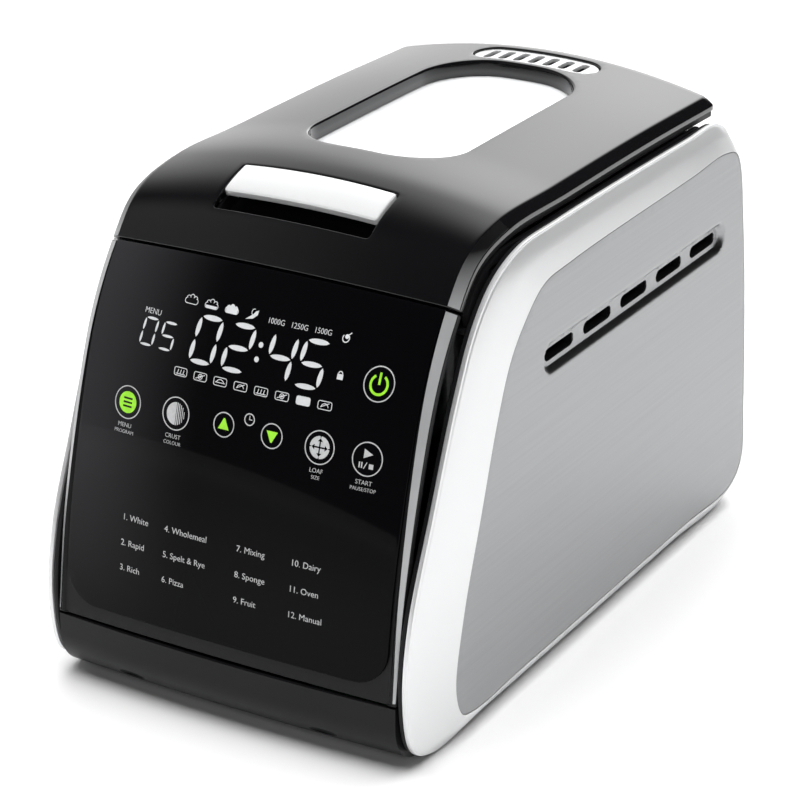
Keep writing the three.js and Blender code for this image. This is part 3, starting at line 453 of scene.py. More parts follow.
def node(group, kind, inputs=None, **settings):
    """A node with its settings and inputs; an input is a value or a socket to link."""
    found = group.nodes.new(kind)
    for key, value in settings.items():
        setattr(found, key, value)
    for key, value in (inputs or {}).items():
        socket = found.inputs[key]
        if isinstance(value, bpy.types.NodeSocket):
            group.links.new(value, socket)
        else:
            socket.default_value = value
    return found


def grown(name, group, values, material, base=None):
    """The plain mesh that a geometry tree makes from these inputs."""
    mesh = base or bpy.data.meshes.new(name)
    carrier = bpy.data.objects.new(name + "_tree", mesh)
    bpy.context.scene.collection.objects.link(carrier)
    modifier = carrier.modifiers.new("tree", "NODES")
    modifier.node_group = group
    identifiers = {
        item.name: item.identifier for item in group.interface.items_tree if item.in_out == "INPUT"
    }
    for label, value in {**values, "Material": material}.items():
        modifier[identifiers[label]] = value
    carrier.update_tag()
    graph = bpy.context.evaluated_depsgraph_get()
    graph.update()
    result = bpy.data.meshes.new_from_object(carrier.evaluated_get(graph))
    carrier.modifiers.remove(modifier)
    bpy.data.objects.remove(carrier)
    result.name = name
    return result


def frame_tree():
    """Side frame: a section carried round from an outer outline to an inner one.

    Both outlines and the section are point rows. Each row of the grid is one point of the
    section: x holds its share of the way inwards, y its inset and z its distance sideways.
    """
    group, given, result = tree("Outline loft", [
        ("Outer", "NodeSocketObject", None), ("Inner", "NodeSocketObject", None),
        ("Inward", "NodeSocketObject", None), ("Section", "NodeSocketObject", None),
        ("Around", "NodeSocketInt", 200), ("Across", "NodeSocketInt", 8),
        ("Side", "NodeSocketFloat", 1.0), ("Material", "NodeSocketMaterial", None),
    ])
    around = node(group, "ShaderNodeMath", {0: given.outputs["Around"], 1: 1.0}, operation="ADD")
    across = node(group, "ShaderNodeMath", {0: given.outputs["Across"], 1: 1.0}, operation="ADD")
    grid = node(group, "GeometryNodeMeshGrid", {
        "Vertices X": around.outputs[0], "Vertices Y": across.outputs[0],
    })
    index = node(group, "GeometryNodeInputIndex").outputs[0]
    row = node(group, "ShaderNodeMath", {0: index, 1: across.outputs[0]}, operation="DIVIDE")
    row = node(group, "ShaderNodeMath", {0: row.outputs[0]}, operation="FLOOR")
    column = node(group, "ShaderNodeMath", {0: index, 1: across.outputs[0]}, operation="MODULO")
    row = node(
        group, "ShaderNodeMath", {0: row.outputs[0], 1: given.outputs["Around"]},
        operation="MODULO",
    )
    column = node(
        group, "ShaderNodeMath", {0: column.outputs[0], 1: given.outputs["Across"]},
        operation="MODULO",
    )

    def sampled(label, at):
        source = node(group, "GeometryNodeObjectInfo", {"Object": given.outputs[label]})
        return node(group, "GeometryNodeSampleIndex", {
            "Geometry": source.outputs["Geometry"],
            "Value": node(group, "GeometryNodeInputPosition").outputs[0],
            "Index": at,
        }, data_type="FLOAT_VECTOR").outputs["Value"]

    section = node(group, "ShaderNodeSeparateXYZ", {0: sampled("Section", column.outputs[0])})
    between = node(group, "ShaderNodeMix", {
        0: section.outputs[0], 4: sampled("Outer", row.outputs[0]),
        5: sampled("Inner", row.outputs[0]),
    }, data_type="VECTOR")
    inset = node(group, "ShaderNodeVectorMath", {
        0: sampled("Inward", row.outputs[0]), 3: section.outputs[1],
    }, operation="SCALE")
    outline = node(
        group, "ShaderNodeVectorMath", {0: between.outputs[1], 1: inset.outputs[0]},
        operation="ADD",
    )
    sideways = node(group, "ShaderNodeMath", {
        0: section.outputs[2], 1: given.outputs["Side"],
    }, operation="MULTIPLY")
    shift = node(group, "ShaderNodeCombineXYZ", {"X": sideways.outputs[0]})
    place = node(
        group, "ShaderNodeVectorMath", {0: outline.outputs[0], 1: shift.outputs[0]},
        operation="ADD",
    )
    moved = node(group, "GeometryNodeSetPosition", {
        "Geometry": grid.outputs["Mesh"], "Position": place.outputs[0],
    })
    closed = node(group, "GeometryNodeMergeByDistance", {
        "Geometry": moved.outputs[0], "Distance": 2e-6,
    })
    real = node(group, "GeometryNodeRealizeInstances", {"Geometry": closed.outputs[0]})
    painted = node(group, "GeometryNodeSetMaterial", {
        "Geometry": real.outputs[0], "Material": given.outputs["Material"],
    })
    group.links.new(painted.outputs[0], result.inputs[0])
    return group


def collar_tree():
    """A row of rounded slots, each a thin collar of a given wall and depth, centred on 0."""
    group, given, result = tree("Slot collars", [
        ("Count", "NodeSocketInt", 5), ("Pitch", "NodeSocketFloat", 0.045),
        ("Length", "NodeSocketFloat", 0.03), ("Width", "NodeSocketFloat", 0.007),
        ("Wall", "NodeSocketFloat", 0.001), ("Depth", "NodeSocketFloat", 0.002),
        ("Material", "NodeSocketMaterial", None),
    ])
    outline = node(group, "GeometryNodeCurvePrimitiveQuadrilateral", {
        "Width": given.outputs["Length"], "Height": given.outputs["Width"],
    })
    narrow = node(group, "ShaderNodeMath", {
        0: given.outputs["Length"], 1: given.outputs["Width"],
    }, operation="MINIMUM")
    radius = node(group, "ShaderNodeMath", {0: narrow.outputs[0], 1: 0.49}, operation="MULTIPLY")
    slot = node(group, "GeometryNodeFilletCurve", {
        "Curve": outline.outputs[0], "Radius": radius.outputs[0], "Count": 6,
    }, mode="POLY")
    section = node(group, "GeometryNodeCurvePrimitiveQuadrilateral", {
        "Width": given.outputs["Wall"], "Height": given.outputs["Depth"],
    })
    collar = node(group, "GeometryNodeCurveToMesh", {
        "Curve": slot.outputs[0], "Profile Curve": section.outputs[0], "Fill Caps": True,
    })
    step = node(group, "ShaderNodeCombineXYZ", {"X": given.outputs["Pitch"]})
    last = node(group, "ShaderNodeMath", {0: given.outputs["Count"], 1: 1.0}, operation="SUBTRACT")
    reach = node(
        group, "ShaderNodeMath", {0: last.outputs[0], 1: given.outputs["Pitch"]},
        operation="MULTIPLY",
    )
    half = node(group, "ShaderNodeMath", {0: reach.outputs[0], 1: -0.5}, operation="MULTIPLY")
    start = node(group, "ShaderNodeCombineXYZ", {"X": half.outputs[0]})
    line = node(group, "GeometryNodeMeshLine", {
        "Count": given.outputs["Count"], "Start Location": start.outputs[0],
        "Offset": step.outputs[0],
    })
    copies = node(group, "GeometryNodeInstanceOnPoints", {
        "Points": line.outputs[0], "Instance": collar.outputs[0],
    })
    real = node(group, "GeometryNodeRealizeInstances", {"Geometry": copies.outputs[0]})
    painted = node(group, "GeometryNodeSetMaterial", {
        "Geometry": real.outputs[0], "Material": given.outputs["Material"],
    })
    group.links.new(painted.outputs[0], result.inputs[0])
    return group


def screw_tree():
    """Cross-head screws on the points of the base mesh, their heads facing up."""
    group, given, result = tree("Screws", [
        ("Points", "NodeSocketGeometry", None), ("Radius", "NodeSocketFloat", 0.0035),
        ("Height", "NodeSocketFloat", 0.001), ("Recess", "NodeSocketFloat", 0.001),
        ("Material", "NodeSocketMaterial", None),
    ])
    top = node(group, "ShaderNodeMath", {0: given.outputs["Radius"], 1: 0.72}, operation="MULTIPLY")
    head = node(group, "GeometryNodeMeshCone", {
        "Vertices": 24, "Radius Top": top.outputs[0], "Radius Bottom": given.outputs["Radius"],
        "Depth": given.outputs["Height"],
    })
    width = node(
        group, "ShaderNodeMath", {0: given.outputs["Radius"], 1: 0.3}, operation="MULTIPLY",
    )
    length = node(
        group, "ShaderNodeMath", {0: given.outputs["Radius"], 1: 1.15}, operation="MULTIPLY",
    )
    bars = []
    for across in (0, 1):
        size = node(group, "ShaderNodeCombineXYZ", {
            "X": (width, length)[across].outputs[0], "Y": (length, width)[across].outputs[0],
            "Z": given.outputs["Recess"],
        })
        bars.append(node(group, "GeometryNodeMeshCube", {"Size": size.outputs[0]}))
    cross = node(group, "GeometryNodeMeshBoolean", operation="UNION")
    for bar in bars:
        group.links.new(bar.outputs[0], cross.inputs["Mesh 2"])
    raise_by = node(group, "ShaderNodeCombineXYZ", {"Z": given.outputs["Height"]})
    lifted = node(group, "GeometryNodeTransform", {
        "Geometry": cross.outputs[0], "Translation": raise_by.outputs[0],
    })
    screw = node(
        group, "GeometryNodeMeshBoolean", {"Mesh 1": head.outputs["Mesh"]}, operation="DIFFERENCE",
    )
    group.links.new(lifted.outputs[0], screw.inputs["Mesh 2"])
    copies = node(group, "GeometryNodeInstanceOnPoints", {
        "Points": given.outputs["Points"], "Instance": screw.outputs[0],
    })
    real = node(group, "GeometryNodeRealizeInstances", {"Geometry": copies.outputs[0]})
    painted = node(group, "GeometryNodeSetMaterial", {
        "Geometry": real.outputs[0], "Material": given.outputs["Material"],
    })
    group.links.new(painted.outputs[0], result.inputs[0])
    return group


# ---------------------------------------------------------------- shared surface effects


def shader_group(name, sockets, outputs):
    found = bpy.data.node_groups.new(name, "ShaderNodeTree")
    for label, kind, value in sockets:
        found.interface.new_socket(label, in_out="INPUT", socket_type=kind).default_value = value
    for label, kind in outputs:
        found.interface.new_socket(label, in_out="OUTPUT", socket_type=kind)
    return found, found.nodes.new("NodeGroupInput"), found.nodes.new("NodeGroupOutput")


def mottle_group():
    """Cloudy variation over a surface, stretched along any axis, as a mask from 0 to 1."""
    group, given, result = shader_group("Mottle", [
        ("Scale", "NodeSocketFloat", 40.0), ("Stretch", "NodeSocketVector", (1, 1, 1)),
        ("Detail", "NodeSocketFloat", 3.0), ("Low", "NodeSocketFloat", 0.35),
        ("High", "NodeSocketFloat", 0.65),
    ], [("Mask", "NodeSocketFloat")])
    place = node(group, "ShaderNodeTexCoord")
    stretched = node(group, "ShaderNodeVectorMath", {
        0: place.outputs["Object"], 1: given.outputs["Stretch"],
    }, operation="MULTIPLY")
    noise = node(group, "ShaderNodeTexNoise", {
        "Vector": stretched.outputs[0], "Scale": given.outputs["Scale"],
        "Detail": given.outputs["Detail"],
    })
    mask = node(group, "ShaderNodeMapRange", {
        "Value": noise.outputs[0], "From Min": given.outputs["Low"],
        "From Max": given.outputs["High"],
    })
    group.links.new(mask.outputs[0], result.inputs["Mask"])
    return group


def grain_group():
    """Fine relief of a finish: a stretched hairline or a pebbled moulding, as a height."""
    group, given, result = shader_group("Grain", [
        ("Scale", "NodeSocketFloat", 900.0), ("Stretch", "NodeSocketVector", (1, 1, 1)),
        ("Pebbles", "NodeSocketFloat", 0.0),
    ], [("Height", "NodeSocketFloat"), ("Streaks", "NodeSocketFloat")])
    place = node(group, "ShaderNodeTexCoord")
    stretched = node(group, "ShaderNodeVectorMath", {
        0: place.outputs["Object"], 1: given.outputs["Stretch"],
    }, operation="MULTIPLY")
    fine = node(group, "ShaderNodeTexNoise", {
        "Vector": stretched.outputs[0], "Scale": given.outputs["Scale"], "Detail": 4.0,
    })
    cells = node(group, "ShaderNodeTexVoronoi", {
        "Vector": stretched.outputs[0], "Scale": given.outputs["Scale"],
    })
    height = node(group, "ShaderNodeMix", {
        0: given.outputs["Pebbles"], 2: fine.outputs[0], 3: cells.outputs["Distance"],
    })
    group.links.new(height.outputs[0], result.inputs["Height"])
    group.links.new(fine.outputs[0], result.inputs["Streaks"])
    return group


def finish(name, colour, rough, metallic=0.0, variation=0.12, mottle=None, grain=None, bump=0.0,
           streaks=0.0, coat=0.0, coat_rough=0.05, specular=0.5, transmission=0.0, ior=1.5, glow=None):
    """A procedural material: mottled colour and roughness, and a fine relief of its own."""
    material = bpy.data.materials.new(name)
    material.use_nodes = True
    group = material.node_tree
    shader = group.nodes["Principled BSDF"]
    shader.inputs["Metallic"].default_value = metallic
    shader.inputs["Specular IOR Level"].default_value = specular
    shader.inputs["Coat Weight"].default_value = coat
    shader.inputs["Coat Roughness"].default_value = coat_rough
    shader.inputs["Transmission Weight"].default_value = transmission
    shader.inputs["IOR"].default_value = ior
    cloud = node(group, "ShaderNodeGroup", node_tree=SHARED["mottle"])
    for label, value in (mottle or {}).items():
        cloud.inputs[label].default_value = value
    relief = node(group, "ShaderNodeGroup", node_tree=SHARED["grain"])
    for label, value in (grain or {}).items():
        relief.inputs[label].default_value = value
    mask = cloud.outputs["Mask"]
    if streaks:
        mask = node(
            group, "ShaderNodeMix", {0: streaks, 2: mask, 3: relief.outputs["Streaks"]},
        ).outputs[0]
    darker = [c * (1 - variation) for c in colour[:3]] + [1.0]
    lighter = [min(1.0, c * (1 + variation)) for c in colour[:3]] + [1.0]
    tint = node(group, "ShaderNodeMix", {0: mask, 6: darker, 7: lighter}, data_type="RGBA")
    group.links.new(tint.outputs[2], shader.inputs["Base Color"])
    low, high = rough
    shine = node(group, "ShaderNodeMapRange", {"Value": mask, "To Min": low, "To Max": high})
    group.links.new(shine.outputs[0], shader.inputs["Roughness"])
    if bump:
        dent = node(group, "ShaderNodeBump", {
            "Height": relief.outputs["Height"], "Strength": 1.0, "Distance": bump * MM,
        })
        group.links.new(dent.outputs[0], shader.inputs["Normal"])
    if glow:
        group.links.new(tint.outputs[2], shader.inputs["Emission Color"])
        shader.inputs["Emission Strength"].default_value = glow
    return material


def painted_bevel_reflection(colour):
    """Painted reflection for the bevelled edges: a light satin metal colour by the glass that fades to black
    past the lid's shoulder, standing in for the light that the black bevels reflect.
    """
    material = finish("painted_bevel_reflection", colour, (0.3, 0.4), metallic=0.35, variation=0.05, mottle={"Scale": 30.0},
                      grain={"Scale": 1800.0}, bump=0.004)
    group = material.node_tree
    shader = group.nodes["Principled BSDF"]
    place = node(
        group, "ShaderNodeSeparateXYZ", {0: node(group, "ShaderNodeTexCoord").outputs["Object"]},
    )
    fade = node(group, "ShaderNodeMapRange", {
        "Value": place.outputs["Z"], "From Min": REFLECTION_FADE[0], "From Max": REFLECTION_FADE[1],
    })
    tint = shader.inputs["Base Color"].links[0].from_socket
    faded = node(
        group, "ShaderNodeMix", {0: fade.outputs[0], 6: tint, 7: (0.006, 0.006, 0.0065, 1.0)},
        data_type="RGBA",
    )
    group.links.new(faded.outputs[2], shader.inputs["Base Color"])
    return material


def glass_with_painted_sheen(colour):
    """The glass front's finish: black, with a painted sheen of reflected light that is strongest at its left
    edge and fades out towards the middle and towards its foot.
    """
    material = finish("front_glass", colour, (0.02, 0.035), mottle={"Scale": 6.0}, specular=0.06)
    group = material.node_tree
    shader = group.nodes["Principled BSDF"]
    place = node(
        group, "ShaderNodeSeparateXYZ", {0: node(group, "ShaderNodeTexCoord").outputs["Object"]},
    )
    across = node(group, "ShaderNodeMapRange", {
        "Value": place.outputs["X"], "From Min": -0.02, "From Max": -0.112,
    }, interpolation_type="SMOOTHSTEP")
    up = node(
        group, "ShaderNodeMapRange",
        {"Value": place.outputs["Z"], "From Min": 0.03, "From Max": 0.13},
    )
    painted_sheen = node(
        group, "ShaderNodeMath", {0: across.outputs[0], 1: up.outputs[0]}, operation="MULTIPLY",
    )
    tint = shader.inputs["Base Color"].links[0].from_socket
    sheened_tint = node(
        group, "ShaderNodeMix", {0: painted_sheen.outputs[0], 6: tint, 7: (0.03, 0.03, 0.032, 1.0)},
        data_type="RGBA",
    )
    group.links.new(sheened_tint.outputs[2], shader.inputs["Base Color"])
    return material


SHARED = {}
FINISH = {}


# ---------------------------------------------------------------- settings


def length(label, default, description):
    return bpy.props.FloatProperty(
        name=label, default=default, description=description, unit="LENGTH", subtype="DISTANCE",
        min=0.0, precision=4,
    )


def paint(label, default, description):
    return bpy.props.FloatVectorProperty(
        name=label, default=default, description=description, subtype="COLOR", size=3, min=0.0,
        max=1.0,
    )


class BreadMachineSizes(bpy.types.PropertyGroup):
    """Sizes of the edges, slots and screws."""

    skin_edge: length("Lid edge radius", 0.0006, "Rounding of the lid's outer edge")
    well_edge: length(
        "Window well radius", 0.0016, "Rounding where the lid turns down into the window well",
    )
    glass_edge: length("Glass edge radius", 0.0007, "Rounding of the front glass")
    glass_thickness: length("Glass thickness", 0.0017, "Thickness of the front glass")
    panel_edge: length("Panel edge radius", 0.0005, "Rounding of the steel side panels")
    dish_depth: length("Vent dish depth", 0.0036, "Depth of the pressed dish round the side vents")
    slot_pitch: length("Side vent pitch", 0.0454, "Distance between the side vents")
    slot_length: length("Side vent length", 0.0335, "Length of one side vent")
    slot_width: length("Side vent height", 0.007, "Height of one side vent")
    slot_count: bpy.props.IntProperty(
        name="Side vents", default=5, min=1, max=6, description="Number of vents on each side",
    )
    screw_radius: length("Screw radius", 0.0034, "Radius of the screw heads on the rear cover")


class BreadMachineColours(bpy.types.PropertyGroup):
    """Colours of the finishes."""

    gloss: paint("Gloss black", (0.004, 0.004, 0.0045), "Lid skin")
    satin: paint("Satin black", (0.009, 0.009, 0.0098), "Base, rims and covers")
    glass: paint("Front glass", (0.002, 0.002, 0.0024), "Back-printed glass front")
    silver: paint("Silver lacquer", (0.74, 0.745, 0.75), "Side frames")
    steel: paint("Brushed steel", (0.3, 0.304, 0.31), "Side panels")
    pane: paint("Window pane", (0.86, 0.87, 0.88), "Frosted window in the lid")
    lit: paint("Display", (0.56, 0.57, 0.58), "Lit digits and symbols")
    # Colour of the painted reflection on the bevels beside the glass and on the lid's shoulder.
    bevel_reflection: paint("Edge trim", (0.42, 0.425, 0.43), "Bevelled edges beside the glass")
    print: paint("Print", (0.5, 0.505, 0.51), "Printed words and rings")
    green: paint("Key green", (0.26, 0.62, 0.03), "Lit key marks")
    floor: paint("Floor", (0.86, 0.86, 0.86), "Studio floor")


class BreadMachineStudio(bpy.types.PropertyGroup):
    """Camera and light of the studio."""

    lens: bpy.props.FloatProperty(
        name="Lens", default=130.2, min=20, max=300, subtype="DISTANCE_CAMERA", unit="CAMERA",
        description="Focal length of the camera",
    )
    overhead: bpy.props.FloatProperty(
        name="Overhead light", default=340.0, min=0, unit="POWER",
        description="Power of the soft light above",
    )
    rear_panel: bpy.props.FloatProperty(
        name="Rear panel", default=10.0, min=0, unit="POWER",
        description="Power of the light behind the object",
    )
    fill: bpy.props.FloatProperty(
        name="Front fill", default=20.0, min=0, unit="POWER",
        description="Power of the soft light in front",
    )
    behind: bpy.props.FloatProperty(
        name="Glow behind", default=42.0, min=0,
        description="Brightness that gloss sees low behind the object",
    )
    left: bpy.props.FloatProperty(
        name="Glow on the left", default=5.0, min=0,
        description="Brightness that gloss sees on the left",
    )
    world: bpy.props.FloatProperty(
        name="Room light", default=0.12, min=0,
        description="Strength of the even light of the room",
    )


# ---------------------------------------------------------------- operators


class Maker(bpy.types.Operator):
    """Shared by the operators that make pieces."""

    bl_options = {"REGISTER"}

    @property
    def sizes(self):
        return bpy.context.scene.bread_machine_sizes

    @property
    def colours(self):
        return bpy.context.scene.bread_machine_colours


class BREADMACHINE_OT_finishes(Maker):
    """Make the shared effects and the finish of every slot, and paint the CAD nodes with them"""

    bl_idname = "bread_machine.finishes"
    bl_label = "Finishes"

    def execute(self, context):
        SHARED["mottle"] = mottle_group()
        SHARED["grain"] = grain_group()
        tone = self.colours
        moulded = {"Scale": 1400.0, "Pebbles": 0.6}
        brushed = {"Scale": 560.0, "Stretch": (1.0, 0.015, 1.0)}
        made = {
            "black_gloss": finish(
                "black_gloss", tone.gloss, (0.045, 0.075), mottle={"Scale": 9.0}, coat=0.4,
                coat_rough=0.03,
            ),
            "black_satin": finish(
                "black_satin", tone.satin, (0.3, 0.42), mottle={"Scale": 25.0}, grain=moulded,
                bump=0.02, specular=0.16,
            ),
            # The glass front with a painted sheen towards its left edge.
            "front_glass": glass_with_painted_sheen(tone.glass),
            "clear_glass": finish(
                "clear_glass", (0.93, 0.95, 0.95), (0.01, 0.03), variation=0.02,
                mottle={"Scale": 12.0}, transmission=1.0,
            ),
            "window_pane": finish(
                "window_pane", tone.pane, (0.1, 0.16), variation=0.015, mottle={"Scale": 14.0},
                coat=0.5, coat_rough=0.02,
            ),
            "silver": finish(
                "silver", tone.silver, (0.26, 0.34), metallic=0.55, variation=0.008,
                mottle={"Scale": 6.0, "Detail": 1.0, "Low": 0.1, "High": 0.9},
                grain={"Scale": 2600.0}, bump=0.002,
            ),
            "steel": finish(
                "steel", tone.steel, (0.26, 0.42), metallic=1.0, variation=0.16,
                mottle={"Scale": 7.0, "Stretch": (1.0, 0.2, 1.0)}, grain=brushed, bump=0.006,
                streaks=0.75,
            ),
            "chrome": finish(
                "chrome", (0.9, 0.905, 0.91), (0.12, 0.18), metallic=0.45, variation=0.01,
                mottle={"Scale": 20.0}, coat=0.3,
            ),
            # Painted reflection for the bevels beside the glass and on the lid's shoulder.
            "painted_bevel_reflection": painted_bevel_reflection(tone.bevel_reflection),
            "zinc": finish(
                "zinc", (0.48, 0.49, 0.5), (0.28, 0.48), metallic=1.0, variation=0.18,
                mottle={"Scale": 70.0, "Detail": 5.0}, grain={"Scale": 600.0, "Pebbles": 0.8},
                bump=0.01,
            ),
            "aluminium": finish(
                "aluminium", (0.72, 0.73, 0.74), (0.3, 0.42), metallic=1.0, variation=0.06,
                mottle={"Scale": 60.0}, grain={"Scale": 1200.0}, bump=0.008,
            ),
            "pan_coating": finish(
                "pan_coating", (0.045, 0.046, 0.05), (0.32, 0.46), metallic=0.2, variation=0.35,
                mottle={"Scale": 900.0, "Low": 0.55, "High": 0.7},
                grain={"Scale": 900.0, "Pebbles": 0.5}, bump=0.015,
            ),
            "rubber": finish(
                "rubber", (0.014, 0.014, 0.014), (0.7, 0.85), variation=0.3, mottle={"Scale": 90.0},
                grain={"Scale": 1100.0, "Pebbles": 0.4}, bump=0.03,
            ),
            "board": finish(
                "board", (0.012, 0.085, 0.03), (0.35, 0.5), variation=0.3, mottle={"Scale": 160.0},
                grain={"Scale": 500.0}, bump=0.02,
            ),
            "ceramic": finish(
                "ceramic", (0.72, 0.69, 0.62), (0.45, 0.6), variation=0.08, mottle={"Scale": 120.0},
                grain={"Scale": 1000.0}, bump=0.02,
            ),
            "motor_steel": finish(
                "motor_steel", (0.3, 0.3, 0.31), (0.35, 0.5), metallic=1.0, variation=0.12,
                mottle={"Scale": 50.0}, grain={"Scale": 1300.0, "Stretch": (1.0, 1.0, 0.05)},
                bump=0.01,
            ),
            "lit": finish(
                "lit", tone.lit, (0.3, 0.4), variation=0.05, mottle={"Scale": 300.0}, glow=0.12,
            ),
            "print": finish(
                "print", tone.print, (0.35, 0.45), variation=0.08, mottle={"Scale": 500.0},
            ),
            "green": finish(
                "green", tone.green, (0.3, 0.4), variation=0.08, mottle={"Scale": 300.0}, glow=0.25,
            ),
        }
        FINISH.update(made)
        for name in NODES:
            paint_node(name, FINISH[slot_of(name)])
        return {"FINISHED"}


def slot_of(name):
    """The record's material slot of a CAD node."""
    for part in frame["record"]["subparts"]:
        if part["node"] == name:
            return part["material_slot"]
    raise RuntimeError(f"the record has no slot for {name}")


def paint_node(name, material):
    """Gives a CAD node its finish through its material slots."""
    obj = NODES[name]
    if not obj.material_slots:
        raise RuntimeError(f"CAD node {name} has no material slot")
    for holder in obj.material_slots:
        holder.link = "OBJECT"
        holder.material = material


def edge_rows(start, end, step, fine_from=None, fine_to=None, fine=2.0):
    """Places between two others, closer together in one stretch."""
    places, at = [], start
    while at < end:
        places.append(at)
        near = fine_from is not None and fine_from <= at <= fine_to
        at += fine if near else step
    return np.array(places)


SKIN_COLUMNS = np.unique(np.concatenate([
    np.linspace(-100, 100, 51), *(side * np.arange(100.5, 108, 0.75) for side in (-1, 1)),
]))


def window_loop(grow=0.0):
    """The window's outline as places on the skin."""
    w = WINDOW
    plan = rectangle(
        -w["half"] - grow, w["half"] + grow, w["front"] - grow, w["rear"] + grow,
        w["corner"] + grow, 3.0,
    )
    return np.stack([plan[:, 0], skin_place(plan[:, 0], plan[:, 1], 1)], axis=1)


def grille_loop(grow=0.0):
    """The outline of the rear grille as places on the skin."""
    half, reach = GRILLE["width"] / 2 + grow, GRILLE["length"] / 2 + grow
    plan = rectangle(-reach, reach, GRILLE["y"] - half, GRILLE["y"] + half, half - 0.02, 2.5)
    return np.stack([plan[:, 0], skin_place(plan[:, 0], plan[:, 1], 1)], axis=1)


def nearest_place(y, z, x):
    """The place whose skin point is nearest to a point of the side view."""
    places = np.linspace(SEAM, SEAM + 120, 2400)
    points = on_skin(x, places, 0)
    return float(places[np.argmin(np.hypot(points[:, 1] - y, points[:, 2] - z))])


GRIP_PLACES = (nearest_place(*GRIP_FRONT, 30.0), nearest_place(*GRIP_REAR, 30.0))


class BREADMACHINE_OT_lid(Maker):
    """Make the lid's skin with its window well, its pane, grille, grip bar and pocket"""

    bl_idname = "bread_machine.lid"
    bl_label = "Lid"

    def execute(self, context):
        size = self.sizes
        low, high = SEAM + 0.3, SKIN.length
        well = size.well_edge / MM
        well_profile = [
            *[
                (well * (1 - math.sin(a)), well * (1 - math.cos(a)))
                for a in np.linspace(0, math.pi / 2, 6)
            ],
            (-0.25, 5.0), (-0.4, 8.9), (-0.2, 9.4), (0.3, 9.5), (2.0, 9.5), (2.2, 9.0), (2.2, 3.0),
        ]
        grip = rectangle(-GRIP_HALF, GRIP_HALF, *GRIP_PLACES, 2.0, 3.0)
        rows = edge_rows(low, high, 5.0, SEAM, SEAM + 90, 2.5)
        skin = slab(on_skin, [
            (
                rectangle(-SKIN_HALF, SKIN_HALF, low, high, 1.2, 3.0),
                rounding(size.skin_edge / MM, 3.0),
            ),
            (window_loop(), well_profile),
            (grille_loop(0.4), rounding(0.7, 3.0)),
            (grip, rounding(0.9, 3.0)),
        ], SKIN_COLUMNS, rows)
        belonging(
            piece("lid_shell", *skin, FINISH["black_gloss"]), "lid", "black_gloss", "lid_skin",
        )

        def pane_place(u, v, depth):
            return on_skin(u, v, depth + 9.85)

        pane = slab(pane_place, [(window_loop(1.6), rounding(0.4, 2.3))],
                    np.linspace(-48, 48, 25), edge_rows(low, high, 5.0))
        belonging(
            piece("window_pane", *pane, FINISH["window_pane"]), "lid", "clear_glass", "lid_window",
        )
        self.grille()
        self.grip()
        # Painted reflection along the lid's bevels, fading to black up the shoulder.
        bevel_reflection_strips("lid_trim", "lid", SEAM + 1.0, SEAM + 62)
        return {"FINISHED"}

    def grille(self):
        slots = []
        for i in range(7):
            x = (i - 3) * 10.0
            plan = rectangle(x - 2.5, x + 2.5, GRILLE["y"] - 8.5, GRILLE["y"] + 8.5, 2.45, 1.5)
            on_plan = np.stack([plan[:, 0], skin_place(plan[:, 0], plan[:, 1], 1)], axis=1)
            slots.append((on_plan, rounding(0.5, 2.4, 0.15, 3)))

        def sunk(u, v, depth):
            return on_skin(u, v, depth + 1.1)

        low, high = skin_place(0, 134, 1), skin_place(0, 162, 1)
        plate = slab(sunk, [(grille_loop(-0.05), rounding(1.2, 2.4))] + slots,
                     np.linspace(-40, 40, 41), np.linspace(float(low), float(high), 12))
        belonging(
            piece("vent_grille", *plate, FINISH["silver"]), "lid", "silver", "lid_vent_grille",
        )
        collars = grown("grille_collars", collar_tree(), {
            "Count": 7, "Pitch": 0.01, "Length": 0.0056, "Width": 0.0176, "Wall": 0.0004,
            "Depth": 0.0022,
        }, FINISH["black_satin"])
        centre = float(skin_place(0, GRILLE["y"], 1))
        points = np.array([v.co for v in collars.vertices]) / MM
        bent = on_skin(points[:, 0], centre + points[:, 1], 4.9 - points[:, 2])
        for vertex, co in zip(collars.vertices, bent * MM):
            vertex.co = co
        belonging(finished("grille_collars", collars, FINISH["black_satin"]), "lid", "black_satin")

    def grip(self):
        end = GRIP_PLACES[1] - 0.6
        start = GRIP_PLACES[1] - 20.5
        half = GRIP_HALF - 1.1

        def proud(u, v, depth):
            return on_skin(u, v, depth - 0.55)

        bar = slab(proud, [(rectangle(-half, half, start, end, 1.4, 3.0), rounding(1.1, 4.6, 0.5))],
                   np.linspace(-46, 46, 24), np.linspace(start, end, 10))
        belonging(piece("grip_bar", *bar, FINISH["chrome"]), "lid", "chrome", "lid_handle")
        outer = self.pocket_ring([(-2.2, -3.4), (0.8, -12.0), (27, -15.7), (36.6, -4.4)])
        inner = self.pocket_ring([(-0.3, -3.4), (2.6, -10.2), (26.5, -14), (34.6, -4.4)])
        trough = self.closed_trough(outer, inner, GRIP_HALF + POCKET_WALL, GRIP_HALF)
        belonging(
            piece("grip_pocket", *trough, FINISH["black_satin"]), "lid", "black_satin",
            "handle_pocket",
        )

    def pocket_ring(self, points):
        """A pocket's section in the side view, given along and out of the grip's line."""
        front = np.array(GRIP_FRONT)
        along = np.array(GRIP_REAR) - front
        along = along / np.linalg.norm(along)
        out = np.array([-along[1], along[0]])
        smooth = []
        for i, point in enumerate(points):
            if 0 < i < len(points) - 1:
                before, after = np.array(points[i - 1], float), np.array(points[i + 1], float)
                corner = np.array(point, float)
                a = corner + (before - corner) / np.linalg.norm(before - corner) * 2.5
                b = corner + (after - corner) / np.linalg.norm(after - corner) * 2.5
                for t in np.linspace(0, 1, 6):
                    smooth.append((1 - t) ** 2 * a + 2 * t * (1 - t) * corner + t * t * b)
            else:
                smooth.append(np.array(point, float))
        return np.array([front + along * u + out * v for u, v in smooth])

